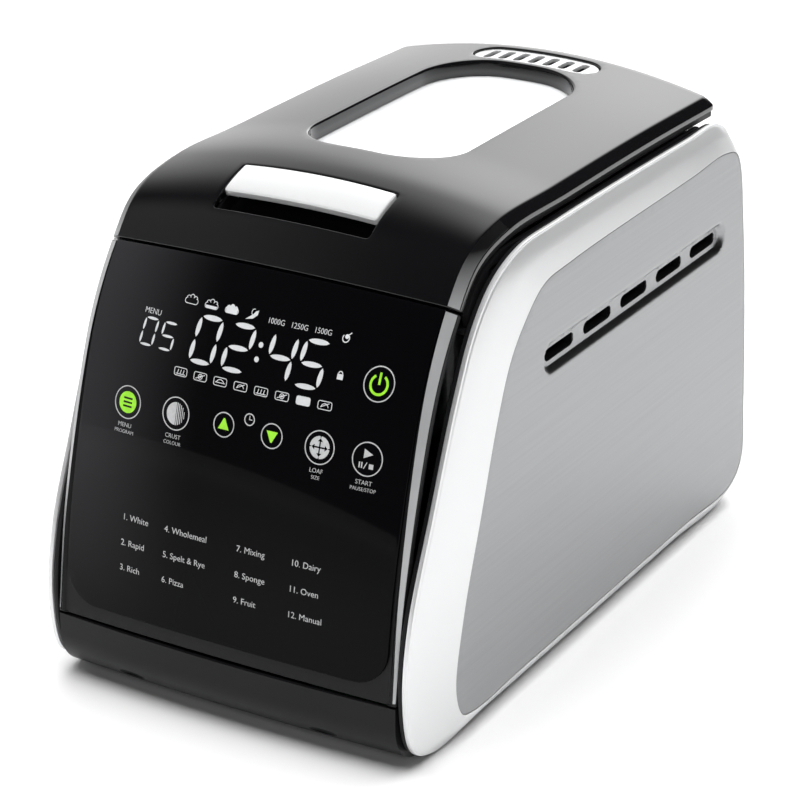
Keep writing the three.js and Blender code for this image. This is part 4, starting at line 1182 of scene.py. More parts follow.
    def closed_trough(self, outer, inner, wide, narrow):
        """Inner trough, outer trough and the rim between them, with flat end walls."""
        n = len(outer)
        points = np.array(
            [[-narrow, *p] for p in inner] + [[narrow, *p] for p in inner]
            + [[-wide, *p] for p in outer] + [[wide, *p] for p in outer]
        )
        faces = []
        for i in range(n - 1):
            faces.append([i, i + 1, n + i + 1, n + i])
            faces.append([2 * n + i, 3 * n + i, 3 * n + i + 1, 2 * n + i + 1])
        for k in range(4):
            faces.append([k * n + i for i in range(n)])
        faces.append([0, n, 3 * n, 2 * n])
        faces.append([n - 1, 2 * n - 1, 4 * n - 1, 3 * n - 1])
        faces.append([0, n - 1, 3 * n - 1, 2 * n])
        faces.append([n, 2 * n - 1, 4 * n - 1, 3 * n])
        return points, faces


def bevel_reflection_strips(name, body, start, end):
    """Thin strips on the bevels of the skin, both sides as one piece, that carry a painted reflection."""
    places = np.linspace(start, end, 40)
    width = skin_form(places)[0]
    shapes = []

    def lifted(u, v, depth):
        return on_skin(u, v, depth - REFLECTION_STRIP_LIFT)

    for side in (-1, 1):
        low = np.stack([side * (SKIN_HALF - width + REFLECTION_STRIP_INSET[0]), places], axis=1)
        high = np.stack([np.full(len(places), side * (SKIN_HALF - REFLECTION_STRIP_INSET[1])), places], axis=1)
        outline = np.vstack([low, high[::-1]]) if side < 0 else np.vstack([high, low[::-1]])
        shapes.append(slab(lifted, [(outline, [(0, 0), (0, REFLECTION_STRIP_THICKNESS)])], [], []))
    return belonging(piece(name, *merged(*shapes), FINISH["painted_bevel_reflection"]), body, "silver")


class BREADMACHINE_OT_front(Maker):
    """Make the glass front and the frame that holds it"""

    bl_idname = "bread_machine.front"
    bl_label = "Glass front"

    def execute(self, context):
        size = self.sizes
        thick = size.glass_thickness / MM
        top = SEAM - SEAM_GAP
        foot = float(skin_place(0, 51.5, 2))
        loop = rectangle(-102, 102, foot, top, [20, 20, 0.8, 0.8], 4.0)
        glass = slab(on_skin, [(loop, rounding(size.glass_edge / MM, thick, 0.1))],
                     np.linspace(-100, 100, 41), edge_rows(2.0, top, 5.0))
        belonging(
            piece("glass_front", *glass, FINISH["front_glass"]), "root", "front_glass",
            "front_glass",
        )

        def sunk(u, v, depth):
            edge = smoothstep(np.abs(u), 103.2, 105.5)
            return on_skin(u, v, depth + (thick + 0.25) * (1 - edge))

        edge = rectangle(-SKIN_HALF, SKIN_HALF, 1.0, top, 0.5, 3.0)
        fascia = slab(sunk, [(edge, rounding(0.5, 3.6))],
                      SKIN_COLUMNS, edge_rows(2.0, top, 5.0))
        belonging(
            piece("fascia", *fascia, FINISH["black_satin"]), "root", "black_satin", "front_fascia",
        )
        # Painted reflection along the fascia's bevels beside the glass.
        bevel_reflection_strips("fascia_trim", "root", 3.0, top - 0.7)
        return {"FINISHED"}


class BREADMACHINE_OT_sides(Maker):
    """Make the side frames, the brushed panels with their vents and the dark walls between"""

    bl_idname = "bread_machine.sides"
    bl_label = "Sides"

    def execute(self, context):
        loft, collars = frame_tree(), collar_tree()
        outer = spline(FRAME_EDGE_POINTS, True, 12)
        inner = spline(PANEL_EDGE_POINTS, True, 12)
        inward = -inwards(outer)
        section = self.section()
        rows = [
            self.row("outer", np.insert(outer, 0, 0, axis=1) * MM),
            self.row("inner", np.insert(inner, 0, 0, axis=1) * MM),
            self.row("inward", np.insert(inward, 0, 0, axis=1)),
            self.row("section", np.array(section) * (1, MM, MM)),
        ]
        for place, side in (("left", -1.0), ("right", 1.0)):
            mesh = grown(f"side_frame_{place}", loft, {
                "Outer": rows[0], "Inner": rows[1], "Inward": rows[2], "Section": rows[3],
                "Around": len(outer), "Across": len(section), "Side": side,
            }, FINISH["silver"])
            belonging(
                finished(f"silver_frame_{place}", mesh, FINISH["silver"], 40), "root", "silver",
                f"side_frame_{place}",
            )
            self.panel(place, side)
            self.wall(place, side)
            self.collars(place, side, collars)
        for row in rows:
            bpy.data.objects.remove(row)
        return {"FINISHED"}

    def row(self, name, points):
        mesh = bpy.data.meshes.new(name)
        mesh.from_pydata([list(map(float, p)) for p in points], [], [])
        obj = bpy.data.objects.new(name + "_points", mesh)
        bpy.context.scene.collection.objects.link(obj)
        return obj

    def section(self):
        """The frame's section as (share of the way inwards, inset, distance sideways)."""
        return [
            (0, 0.5, 111.8), (0, 0.15, 111.95), (0, 0, 112.3), (0, 0, 114.0), (0, 0.12, 114.35),
            (0, 0.45, 114.5),
            (0, 1.2, 114.6), (0, 1.5, 114.65), (0.02, 1.0, 114.9), (0.06, 0.6, 115.35),
            (0.5, 0, 118.5),
            (0.92, 0, 121.42), (0.97, 0, 121.72), (0.99, 0, 121.88), (1.0, 0, 121.92),
            (1.0, 0.25, 121.85),
            (1.0, 0.35, 121.5), (1.0, 0.35, 120.0), (1.0, 6, 120), (1.0, 6, 118), (0, 3, 111.8),
        ]

    def panel(self, place, side):
        size = self.sizes
        outline = self.counter(spline(PANEL_EDGE_POINTS, True, 14))
        outline = outline + inwards(outline) * 0.6
        length, height = 229.0, 18.5
        y0, z0 = VENT_CENTRE
        reach, half = length / 2, height / 2
        dish = size.dish_depth / MM

        def shape(u, v, depth):
            away = np.hypot(np.maximum(np.abs(u - y0) - (reach - half), 0), v - z0) - half
            sink = dish * smoothstep(-away, -0.8, 3.6)
            return np.stack([side * (121.7 - sink - depth), u, v], axis=-1)

        loops = [(outline, rounding(size.panel_edge / MM, 1.2))]
        for i in range(size.slot_count):
            centre = y0 + (i - (size.slot_count - 1) / 2) * size.slot_pitch / MM
            slot, tall = size.slot_length / MM / 2, size.slot_width / MM / 2
            hole = rectangle(centre - slot, centre + slot, z0 - tall, z0 + tall, tall - 0.02, 2.5)
            loops.append((hole, rounding(0.35, 1.2)))
        coarse, fine = 6.0, 1.3
        rows = np.concatenate([
            np.arange(18, 174, coarse), np.arange(176, 208, fine), np.arange(210, 243, coarse),
        ])
        dish_ends = y0 + np.array([-1, 1])[:, None] * np.arange(103, 117, fine)
        columns = np.unique(np.concatenate([np.arange(-160, 204, coarse), dish_ends], axis=None))
        plate = slab(shape, loops, columns, rows)
        belonging(
            piece(f"steel_panel_{place}", *plate, FINISH["steel"]), "root", "steel",
            f"side_panel_{place}",
        )

    def counter(self, loop):
        """The same outline, travelled counter-clockwise."""
        area = np.sum(loop[:, 0] * np.roll(loop[:, 1], -1) - loop[:, 1] * np.roll(loop[:, 0], -1))
        return loop if area > 0 else loop[::-1]

    def wall(self, place, side):
        """The dark wall behind the frame: its front edge shows as a fine bead beside the glass."""
        outline = self.counter(spline(FRAME_EDGE_POINTS, True, 10))
        outline = outline + inwards(outline) * 0.6

        def shape(u, v, depth):
            return np.stack([side * (111.3 - depth), u, v], axis=-1)

        plate = slab(
            shape, [(outline, rounding(0.8, 2.5, 0.6))], np.arange(-190, 200, 14.0),
            np.arange(10, 260, 14.0),
        )
        belonging(
            piece(f"dark_wall_{place}", *plate, FINISH["black_satin"]), "root", "black_satin",
            f"side_wall_{place}",
        )

    def collars(self, place, side, group):
        size = self.sizes
        mesh = grown(f"vent_collars_{place}", group, {
            "Count": size.slot_count, "Pitch": size.slot_pitch, "Length": size.slot_length + 0.0008,
            "Width": size.slot_width + 0.0008, "Wall": 0.0008, "Depth": 0.0044,
        }, FINISH["black_satin"])
        points = np.array([v.co for v in mesh.vertices])
        y0, z0 = VENT_CENTRE
        for vertex, (a, b, c) in zip(mesh.vertices, points):
            vertex.co = (side * (0.1146 - c), y0 * MM + a, z0 * MM + b)
        belonging(
            finished(f"vent_collars_{place}", mesh, FINISH["black_satin"]), "root", "black_satin",
        )


class BREADMACHINE_OT_body(Maker):
    """Make the base tray, the rear cover with its slots and screws, and the deck"""

    bl_idname = "bread_machine.body"
    bl_label = "Body"

    def execute(self, context):
        self.base()
        self.rear()
        self.deck()
        return {"FINISHED"}

    def section(self, inset):
        """The base's side outline, travelled from the rear's top to the front and underneath."""
        front, rear, bottom, top = -201 + inset, 202 - inset, 3 + inset, 41.0
        points = [(rear, top), (front, top)]
        radius = BASE_FRONT_RADIUS - inset
        for i in range(15):
            angle = i / 14 * math.pi / 2
            points.append((
                front + radius * (1 - math.cos(angle)), bottom + radius * (1 - math.sin(angle)),
            ))
        radius = BASE_REAR_RADIUS - inset
        for i in range(9):
            angle = i / 8 * math.pi / 2
            points.append((
                rear - radius * (1 - math.sin(angle)), bottom + radius * (1 - math.cos(angle)),
            ))
        return np.array(points)

    def base(self):
        half, wall = BODY_HALF, 2.5

        def bulged(section, x):
            bulge = 4 * (1 - (x / half) ** 2) * np.clip((-150 - section[:, 0]) / 50, 0, 1)
            return np.stack(
                [np.full(len(section), x), section[:, 0] - bulge, section[:, 1]], axis=1,
            )

        outer = self.section(0)
        columns = np.linspace(-half, half, 41)
        rings = [bulged(outer, x) for x in columns]
        skin = lofted(rings)
        body = bpy.data.meshes.new("base")
        body.from_pydata((skin[0] * MM).tolist(), [], skin[1])
        base = finished("base_body", body, FINISH["black_satin"])
        tools = []
        hollow = [bulged(self.section(wall), x) for x in np.linspace(-half + wall, half - wall, 21)]
        for ring in hollow:
            ring[:2, 2] = 44.0
        tools.append(piece("base_hollow", *lofted(hollow), FINISH["black_satin"]))
        for x in (-88, 88):
            for y in (-168, 182):
                hole = turned([(3.4, -2), (3.4, 12)], x, y, 24)
                tools.append(piece("foot_hole", *hole, FINISH["black_satin"]))
        bore, walls = turned([(7.3, 190), (7.3, 210)], 62, -24, 32)
        inlet = np.stack([bore[:, 0], bore[:, 2], -bore[:, 1]], axis=1)
        tools.append(piece("gland_hole", inlet, walls, FINISH["black_satin"]))
        for x in (-62, 62):
            tools.append(piece("notch", *self.notch(x), FINISH["black_satin"]))
        carved(base, tools)
        belonging(base, "root", "black_satin", "base_tray")

    def notch(self, x):
        """A finger notch under the front edge of the base."""
        rings = []
        for reach in np.linspace(-9, 9, 9):
            deep = 3.2 * math.sqrt(max(0.0, 1 - (reach / 9.6) ** 2))
            angles = np.linspace(0, 2 * math.pi, 17)[:-1]
            rings.append(np.stack([
                np.full(16, x + reach), -199.5 + deep * np.cos(angles) * 1.3,
                13 + deep * np.sin(angles),
            ], axis=1))
        return lofted(rings)

    def rear(self):
        outline = [
            (202.0, 41.3), (202.0, 66.0), (189.0, 190.0), (177.5, 240.0), (174.0, 243.5),
            (169.0, 243.5),
        ]
        line = Edge(eased(outline, [0, 6, 10, 3, 2.5, 0]))

        def shape(u, v, depth):
            y, z = line.point(v)
            out_y, out_z = line.outward(v)
            return np.stack([u, y + out_y * depth, z + out_z * depth], axis=-1)

        loops = [(rectangle(-BODY_HALF, BODY_HALF, 0.0, line.length, 0.8, 3.0), rounding(0.6, 2.4))]
        low, high = line.first(1, 84.0), line.first(1, 132.0)
        for i in range(9):
            x = (i - 4) * 14.0
            loops.append((rectangle(x - 2.5, x + 2.5, low, high, 2.3, 2.5), rounding(0.5, 2.4)))
        rows = np.unique(np.concatenate([
            edge_rows(1, line.length, 6.0), np.arange(low - 4, high + 4, 6.0),
        ]))
        plate = slab(shape, loops, np.linspace(-104, 104, 53), rows)
        belonging(
            piece("rear_shell", *plate, FINISH["black_satin"]), "root", "black_satin", "rear_cover",
        )

        seats = [(x, v) for x in (-95, 95) for v in (line.first(1, 56.0), line.first(1, 214.0))]
        points = bpy.data.meshes.new("screw_seats")
        points.from_pydata([(0.0, 0.0, 0.0)], [], [])
        head = grown("screw", screw_tree(), {
            "Radius": self.sizes.screw_radius, "Height": 0.0011, "Recess": 0.0011,
        }, FINISH["zinc"], points)
        shapes = []
        for x, v in seats:
            centre = shape(np.array([x]), np.array([v]), np.array([-0.1]))[0]
            out = np.array([0.0, *[float(k) for k in line.outward(v)]]) * -1
            across = np.array([1.0, 0.0, 0.0])
            up = np.cross(out, across)
            local = np.array([co.co for co in head.vertices]) / MM
            world = (
                centre + np.outer(local[:, 0], across) + np.outer(local[:, 1], up)
                + np.outer(local[:, 2], out)
            )
            shapes.append((world, [list(face.vertices) for face in head.polygons]))
        belonging(piece("rear_screws", *merged(*shapes), FINISH["zinc"]), "root", "zinc")

    def deck(self):
        outline = [
            (-131.0, 229.0), (-112.0, 229.0), (-105.0, 255.0), (152.0, 255.0), (153.5, 244.5),
            (168.5, 244.5),
        ]
        line = Edge(eased(outline, [0, 1.8, 1.8, 0.8, 0.8, 0]))

        def shape(u, v, depth):
            y, z = line.point(v)
            out_y, out_z = line.outward(v)
            return np.stack([u, y - out_y * depth, z - out_z * depth], axis=-1)

        low, high = line.first(0, -91.5), line.first(0, 141.5)
        mouth = rectangle(-82.5, 82.5, low, high, 11.0, 4.0)
        rows = np.unique(np.concatenate([edge_rows(1, line.length, 6.0), np.arange(15, 50, 1.0)]))
        plate = slab(shape, [
            (rectangle(-BODY_HALF, BODY_HALF, 0.0, line.length, 0.5, 4.0), rounding(0.4, 3.0)),
            (mouth, rounding(1.0, 3.0)),
        ], np.linspace(-106, 106, 54), rows)
        depth = 8.4
        shoulder = np.linspace(SEAM + 1.0, SKIN.first(0, -92.0), 18)
        y, z = SKIN.point(shoulder)
        out_y, out_z = SKIN.outward(shoulder)
        cheek = list(zip(y - out_y * depth, z - out_z * depth))
        cheek += [(148, 259.5), (148, 253), (-104, 253), (-112, 227), (-127, 227)]
        cheek = np.array(cheek)[::-1]
        shapes = [plate]
        for side in (-1, 1):
            rings = [
                np.stack([np.full(len(cheek), side * x), cheek[:, 0], cheek[:, 1]], axis=1)
                for x in (105.0, BODY_HALF)
            ]
            shapes.append(lofted(rings))
            lug_y, lug_z = LUG_CENTRE
            round_end = [
                (lug_y + LUG_RADIUS * math.cos(a), lug_z + LUG_RADIUS * math.sin(a))
                for a in np.linspace(-0.64, math.pi + 0.64, 25)
            ]
            lug = np.array(round_end + [(lug_y - 4, 243.5), (lug_y + 4, 243.5)])
            shapes.append(lofted([
                np.stack(
                    [np.full(len(lug), side * x), lug[:, 0], lug[:, 1]], axis=1,
                ) for x in (90.0, 90.3, 95.7, 96.0)
            ]))
        belonging(
            piece("deck", *merged(*shapes), FINISH["black_satin"]), "root", "black_satin",
            "top_deck",
        )


def eased(corners, radii):
    """An open line with rounded corners."""
    line = [np.array(corners[0], float)]
    for i in range(1, len(corners) - 1):
        corner = np.array(corners[i], float)
        back = np.array(corners[i - 1], float) - corner
        ahead = np.array(corners[i + 1], float) - corner
        cut = min(radii[i], np.linalg.norm(back) * 0.45, np.linalg.norm(ahead) * 0.45)
        a = corner + back / np.linalg.norm(back) * cut
        b = corner + ahead / np.linalg.norm(ahead) * cut
        for t in np.linspace(0, 1, 9):
            line.append((1 - t) ** 2 * a + 2 * t * (1 - t) * corner + t * t * b)
    line.append(np.array(corners[-1], float))
    dense = [line[0]]
    for a, b in zip(line, line[1:]):
        count = max(1, int(np.linalg.norm(b - a) / 2))
        dense += [a + (b - a) * k / count for k in range(1, count + 1)]
    return np.array(dense)


def carved(obj, tools):
    """Cuts closed tools out of an object's mesh."""
    for tool in tools:
        modifier = obj.modifiers.new("cut", "BOOLEAN")
        modifier.object = tool
        modifier.operation = "DIFFERENCE"
        modifier.solver = "EXACT"
    graph = bpy.context.evaluated_depsgraph_get()
    graph.update()
    mesh = bpy.data.meshes.new_from_object(obj.evaluated_get(graph))
    obj.modifiers.clear()
    old = obj.data
    obj.data = mesh
    bpy.data.meshes.remove(old)
    for tool in tools:
        bpy.data.objects.remove(tool)
    mesh.shade_smooth()
    mesh.set_sharp_from_angle(angle=math.radians(32))


# ---------------------------------------------------------------- the front's digits, marks and words


class Ink:
    """Flat shapes drawn in millimetres across the front, later laid on the glass."""

    def __init__(self):
        self.shapes = []

    def outline(self, points, x=0.0, z=0.0, size=1.0, slant=0.0):
        """A filled outline, placed, scaled and leaned over."""
        points = np.asarray(points, float) * size
        points[:, 0] += points[:, 1] * slant
        self.shapes.append((points + (x, z), [list(range(len(points)))]))

    def ring(self, x, z, radius, width, segments=48, turn=(0.0, 360.0)):
        """A round line, whole or part."""
        whole = turn[1] - turn[0] >= 360
        count = segments if whole else max(3, int(segments * (turn[1] - turn[0]) / 360))
        angles = np.radians(np.linspace(*turn, count + 1))
        if whole:
            angles = angles[:-1]
        sides = [
            np.stack([x + r * np.cos(angles), z + r * np.sin(angles)], axis=1)
            for r in (radius - width / 2, radius + width / 2)
        ]
        n = len(angles)
        faces = [[i, (i + 1) % n, n + (i + 1) % n, n + i] for i in range(n if whole else n - 1)]
        self.shapes.append((np.vstack(sides), faces))

    def disc(self, x, z, radius, segments=32):
        angles = np.linspace(0, 2 * math.pi, segments + 1)[:-1]
        self.outline(np.stack([radius * np.cos(angles), radius * np.sin(angles)], axis=1), x, z)

    def bar(self, x0, z0, x1, z1, width):
        """A straight stroke between two points."""
        a, b = np.array([x0, z0], float), np.array([x1, z1], float)
        side = np.array([-(b - a)[1], (b - a)[0]]) / np.linalg.norm(b - a) * width / 2
        self.outline([a - side, b - side, b + side, a + side])

    def words(self, text, x, z, height, align="CENTER", bold=-0.045):
        """Plain lettering, its capitals of a given height."""
        curve = bpy.data.curves.new("words", "FONT")
        curve.body = text
        curve.align_x = align
        curve.resolution_u = 3
        curve.offset = bold
        curve.size = height / 0.7
        holder = bpy.data.objects.new("words", curve)
        bpy.context.scene.collection.objects.link(holder)
        graph = bpy.context.evaluated_depsgraph_get()
        graph.update()
        mesh = bpy.data.meshes.new_from_object(holder.evaluated_get(graph))
        if len(mesh.vertices):
            points = np.array([v.co[:2] for v in mesh.vertices])
            self.shapes.append((points + (x, z), [list(p.vertices) for p in mesh.polygons]))
        bpy.data.objects.remove(holder)
        bpy.data.meshes.remove(mesh)
        bpy.data.curves.remove(curve)

    def laid(self, name, material, lift=0.09, sink=0.04):
        """All shapes as one thin layer that lies on the glass."""
        points, faces = merged(*self.shapes)
        mesh = bpy.data.meshes.new(name)
        mesh.from_pydata([(x, z, 0.0) for x, z in points], [], faces)
        work = bmesh.new()
        work.from_mesh(mesh)
        bmesh.ops.remove_doubles(work, verts=work.verts, dist=1e-4)
        bmesh.ops.triangulate(work, faces=[f for f in work.faces if len(f.verts) > 4])
        for face in work.faces:
            face.normal_update()
            if face.normal.z < 0:
                face.normal_flip()
        grown_faces = bmesh.ops.extrude_face_region(work, geom=list(work.faces), use_keep_orig=True)
        for item in grown_faces["geom"]:
            if isinstance(item, bmesh.types.BMVert):
                item.co.z = 1.0
        low = [f for f in work.faces if all(v.co.z < 0.5 for v in f.verts)]
        for face in low:
            face.normal_flip()
        co = np.array([v.co[:] for v in work.verts])
        on = on_front(co[:, 0], co[:, 1], np.where(co[:, 2] > 0.5, lift, -sink)) * MM
        for vertex, at in zip(work.verts, on):
            vertex.co = at
        work.to_mesh(mesh)
        work.free()
        return belonging(finished(name, mesh, material), "root", "")


def hexagon(x0, z0, x1, z1, width):
    """A display segment: a slim bar that narrows to both ends."""
    a, b = np.array([x0, z0], float), np.array([x1, z1], float)
    along = (b - a) / np.linalg.norm(b - a)
    side = np.array([-along[1], along[0]]) * width / 2
    reach = np.linalg.norm(b - a)
    low, high = [], []
    for t in np.linspace(0, 1, 9):
        swell = math.sin(math.pi * t) ** 0.55
        low.append(a + along * reach * t - side * swell)
        high.append(a + along * reach * t + side * swell)
    return np.array(low + high[::-1][1:-1])


SLANT = 0.128
DIGITS = {
    "0": "abcdef", "2": "abged", "4": "fgbc", "5": "afgcd",
}


def digit(ink, figure, x, z, width, height, stroke):
    """One seven-segment figure, centred at a place on the front and leaning a little."""
    w, h = width / 2, height / 2
    gap = stroke * 0.25
    ends = {
        "a": (-w + gap, h, w - gap, h), "g": (-w + gap, 0, w - gap, 0),
        "d": (-w + gap, -h, w - gap, -h),
        "f": (-w, h - gap, -w, gap), "b": (w, h - gap, w, gap),
        "e": (-w, -gap, -w, -h + gap), "c": (w, -gap, w, -h + gap),
    }
    for name in DIGITS[figure]:
        ink.outline(hexagon(*ends[name], stroke), x, z, 1.0, SLANT)


class BREADMACHINE_OT_display(Maker):
    """Draw the display, the keys and the printed words on the glass"""

    bl_idname = "bread_machine.display"
    bl_label = "Display and keys"

    def execute(self, context):
        lit, white, green = Ink(), Ink(), Ink()
        for figure, x in zip("0245", (-27.2, -6.6, 19.3, 38.2)):
            digit(lit, figure, x, 208.5, 13.6, 22.0, 2.7)
        for z in (-3.6, 3.6):
            lit.disc(6.1 + z * SLANT, 208.9 + z, 1.4, 24)
        for figure, x in zip("05", (-64.2, -51.6)):
            digit(lit, figure, x, 205.8, 8.2, 13.2, 1.35)
        self.loaves(lit)
        self.stages(lit)
        for text, x in (("1000G", 12.4), ("1250G", 26.4), ("1500G", 40.4)):
            lit.words(text, x, 223.3, 2.7)
        lit.words("MENU", -64.1, 214.5, 2.8)
        self.lock(lit, 55.5, 206.3)
        self.basket(lit, 54.0, 223.7)
        self.keys(white, green)
        self.legend(white)
        lit.laid("display_figures", FINISH["lit"])
        white.laid("printed_marks", FINISH["print"])
        green.laid("green_marks", FINISH["green"])
        return {"FINISHED"}

    def loaf(self, ink, x, z, shade):
        """A small loaf: a bumpy top over a rounded base, filled from below by its shade."""
        for dx, dz, radius in ((-2.2, 0.9, 1.25), (0, 1.5, 1.35), (2.2, 0.9, 1.25)):
            if shade > 1:
                ink.disc(x + dx, z + dz, radius, 18)
            else:
                ink.ring(x + dx, z + dz, radius, 0.34, 24, (15, 165))
        ink.ring(x - 2.8, z - 0.2, 1.3, 0.34, 24, (90, 270))
        ink.ring(x + 2.8, z - 0.2, 1.3, 0.34, 24, (-90, 90))
        ink.bar(x - 2.8, z - 1.5, x + 2.8, z - 1.5, 0.36)
        top = (None, -0.2, 1.2)[shade]
        if top is not None:
            ink.outline(
                [(-3.0, -1.5), (3.0, -1.5), (3.7, -0.5), (3.5, top), (-3.5, top), (-3.7, -0.5)], x,
                z,
            )

    def loaves(self, ink):
        """Three crust shades and a proving sign above the figures."""
        for shade, x in enumerate((-41.6, -28.6, -15.6)):
            self.loaf(ink, x, 225.2, shade)
        ink.outline(
            [
                (-3.8, -2.4), (0.6, -1.6), (3.0, 0.4), (3.2, 2.6), (1.6, 2.0), (0.2, 0.3),
                (-1.6, -0.9),
            ],
            -2.5, 225.2,
        )
        ink.ring(-1.9, 226.6, 1.5, 0.36, 20, (80, 250))

    def stages(self, ink):
        """Eight tray symbols under the figures, one for each stage of the programme."""
        wide, tall, line = 4.2, 2.25, 0.38
        for i in range(8):
            x, z = -39.4 + i * 12.75, 190.4
            corner = rectangle(x - wide, x + wide, z - tall, z + tall, 1.2, 1.5)
            inner = corner + inwards(corner) * line
            n = len(corner)
            if i == 6:
                ink.outline(corner)
                continue
            ring = [[k, (k + 1) % n, n + (k + 1) % n, n + k] for k in range(n)]
            ink.shapes.append((np.vstack([corner, inner]), ring))
            if i % 4 == 0:
                for dx in (-1.8, 0, 1.8):
                    ink.bar(x + dx - 0.2, z - 1.0, x + dx + 0.3, z + 1.1, line)
                ink.bar(x - 3.0, z - 1.2, x + 3.0, z - 1.2, line)
            elif i % 4 == 1:
                ink.ring(x, z, 1.25, line, 20)
                ink.bar(x - 2.8, z - 1.2, x + 2.8, z + 1.2, line)
                ink.disc(x, z, 0.6, 12)
            elif i % 4 == 2:
                ink.ring(x, z - 1.4, 2.5, line, 24, (20, 160))
                ink.bar(x - 3.0, z - 0.5, x + 3.0, z - 0.5, line)
            else:
                ink.ring(x, z - 1.2, 2.1, line, 24, (10, 170))
                ink.bar(x - 2.4, z - 1.0, x + 2.4, z + 1.3, line)

    def lock(self, ink, x, z):
        ink.outline([(-1.7, -2.2), (1.7, -2.2), (1.7, 0.5), (-1.7, 0.5)], x, z)
        ink.ring(x, z + 0.6, 1.15, 0.5, 24, (0, 180))

    def basket(self, ink, x, z):
        ink.ring(x, z - 0.2, 1.9, 0.5, 24, (140, 400))
        ink.disc(x + 0.4, z + 0.6, 1.1, 16)
        ink.bar(x + 0.9, z + 1.2, x + 2.6, z + 2.6, 0.5)

    def keys(self, white, green):
        """Ringed keys with their marks and captions."""
        large, small, line = 8.7, 6.5, 0.55
        menu, crust, size = (-70.8, 167.9), (-38.7, 168.9), (50.5, 169.4)
        up, down, timer = (-7.9, 169.6), (21.8, 169.7), (7.3, 175.3)
        start, power = (78.3, 168.6), (77.8, 205.5)
        for (x, z), radius in (
            (menu, large), (crust, large), (size, large), (start, large), (power, large),
            (up, small), (down, small), (timer, 3.2),
        ):
            white.ring(x, z, radius - line / 2, line, 72)
        self.barred_disc(green, *menu, 5.7)
        self.half_shade(white, *crust, 5.9)
        self.arrow_disc(white, *size, 5.8)
        green.outline([(-3.4, -2.4), (3.4, -2.4), (0.4, 3.4), (-0.4, 3.4)], *up)
        green.outline([(-0.4, -3.4), (0.4, -3.4), (3.4, 2.4), (-3.4, 2.4)], *down)
        white.bar(timer[0], timer[1] - 0.2, timer[0], timer[1] + 2.0, 0.45)
        white.bar(timer[0], timer[1], timer[0] + 1.7, timer[1], 0.45)
        x, z = start
        white.outline([(-2.2, 0.2), (2.9, 2.6), (-2.2, 5.0)], x, z)
        for dx in (-4.1, -2.7):
            white.bar(x + dx, z - 4.8, x + dx, z - 1.8, 0.65)
        white.bar(x - 1.5, z - 5.0, x + 0.1, z - 1.6, 0.4)
        white.outline([(0, 0), (2.5, 0), (2.5, 2.5), (0, 2.5)], x + 1.4, z - 4.7)
        x, z = power
        green.ring(x, z - 0.3, 4.7, 1.3, 64, (122, 418))
        green.bar(x, z - 0.3, x, z + 5.6, 1.25)
        for text, under, (x, z) in (
            ("MENU", "PROGRAM", menu), ("CRUST", "COLOUR", crust), ("LOAF", "SIZE", size),
            ("START", "PAUSE/STOP", start),
        ):
            white.words(text, x - 0.3, z - 13.0, 2.3, bold=-0.03)
            white.words(under, x - 0.3, z - 16.3, 1.9, bold=-0.03)

    def half_shade(self, ink, x, z, radius):
        """A disc half filled, half in thinning bars."""
        half = [
            (radius * math.cos(a), radius * math.sin(a))
            for a in np.linspace(math.pi / 2, 1.5 * math.pi, 24)
        ]
        ink.outline(half, x, z)
        for i in range(5):
            across = 0.7 + i * 1.15
            reach = math.sqrt(max(0.3, radius**2 - (across + 0.3) ** 2))
            ink.bar(x + across, z - reach, x + across, z + reach, 0.62 - 0.07 * i)

    def barred_disc(self, ink, x, z, radius):
        """A disc in slices, which leaves three bars open."""
        bars = [(-2.6, -1.6), (-0.5, 0.5), (1.6, 2.6)]
        edges = [-radius, *[e for bar in bars for e in bar], radius]
        half = 2.9
        for low, high in zip(edges[::2], edges[1::2]):
            heights = np.linspace(low, high, 8)
            reach = np.sqrt(np.maximum(radius**2 - heights**2, 0))
            right = np.stack([reach, heights], axis=1)
            left = np.stack([-reach, heights], axis=1)[::-1]
            points = np.vstack([right, left])
            keep = np.linalg.norm(points - np.roll(points, 1, axis=0), axis=1) > 1e-3
            ink.outline(points[keep], x, z)
        for low, high in bars:
            for side in (-1, 1):
                heights = np.linspace(low, high, 3)
                reach = np.sqrt(radius**2 - heights**2)
                outer = np.stack([side * reach, heights], axis=1)
                ink.outline(np.vstack([outer, [(side * half, high), (side * half, low)]]), x, z)

    def arrow_disc(self, ink, x, z, radius):
        """A disc in quarters, which leaves a cross with four arrow heads open."""
        gap, head, tip, base = 0.42, 1.5, 4.7, 3.0
        for turn in range(4):
            c, s = math.cos(turn * math.pi / 2), math.sin(turn * math.pi / 2)
            start, end = math.asin(gap / radius), math.pi / 2 - math.asin(gap / radius)
            arc = [
                (radius * math.cos(a), radius * math.sin(a))
                for a in np.linspace(start, end, 14)
            ]
            points = arc + [
                (0.06, tip), (head, base), (gap, base), (gap, gap), (base, gap), (base, head),
                (tip, 0.06),
            ]
            ink.outline([(c * u - s * v, s * u + c * v) for u, v in points], x, z)

    def legend(self, ink):
        """Twelve programmes in four columns."""
        names = (
            ("White", "Rapid", "Rich"), ("Wholemeal", "Spelt & Rye", "Pizza"),
            ("Mixing", "Sponge", "Fruit"), ("Dairy", "Oven", "Manual"),
        )
        for column, start in enumerate((-66.2, -38.2, 8.0, 41.5)):
            for row in range(3):
                text = f"{column * 3 + row + 1}. {names[column][row]}"
                ink.words(text, start, 106.2 - 14.1 * row, 3.4, "LEFT", bold=-0.02)


# ---------------------------------------------------------------- the pan and what is inside


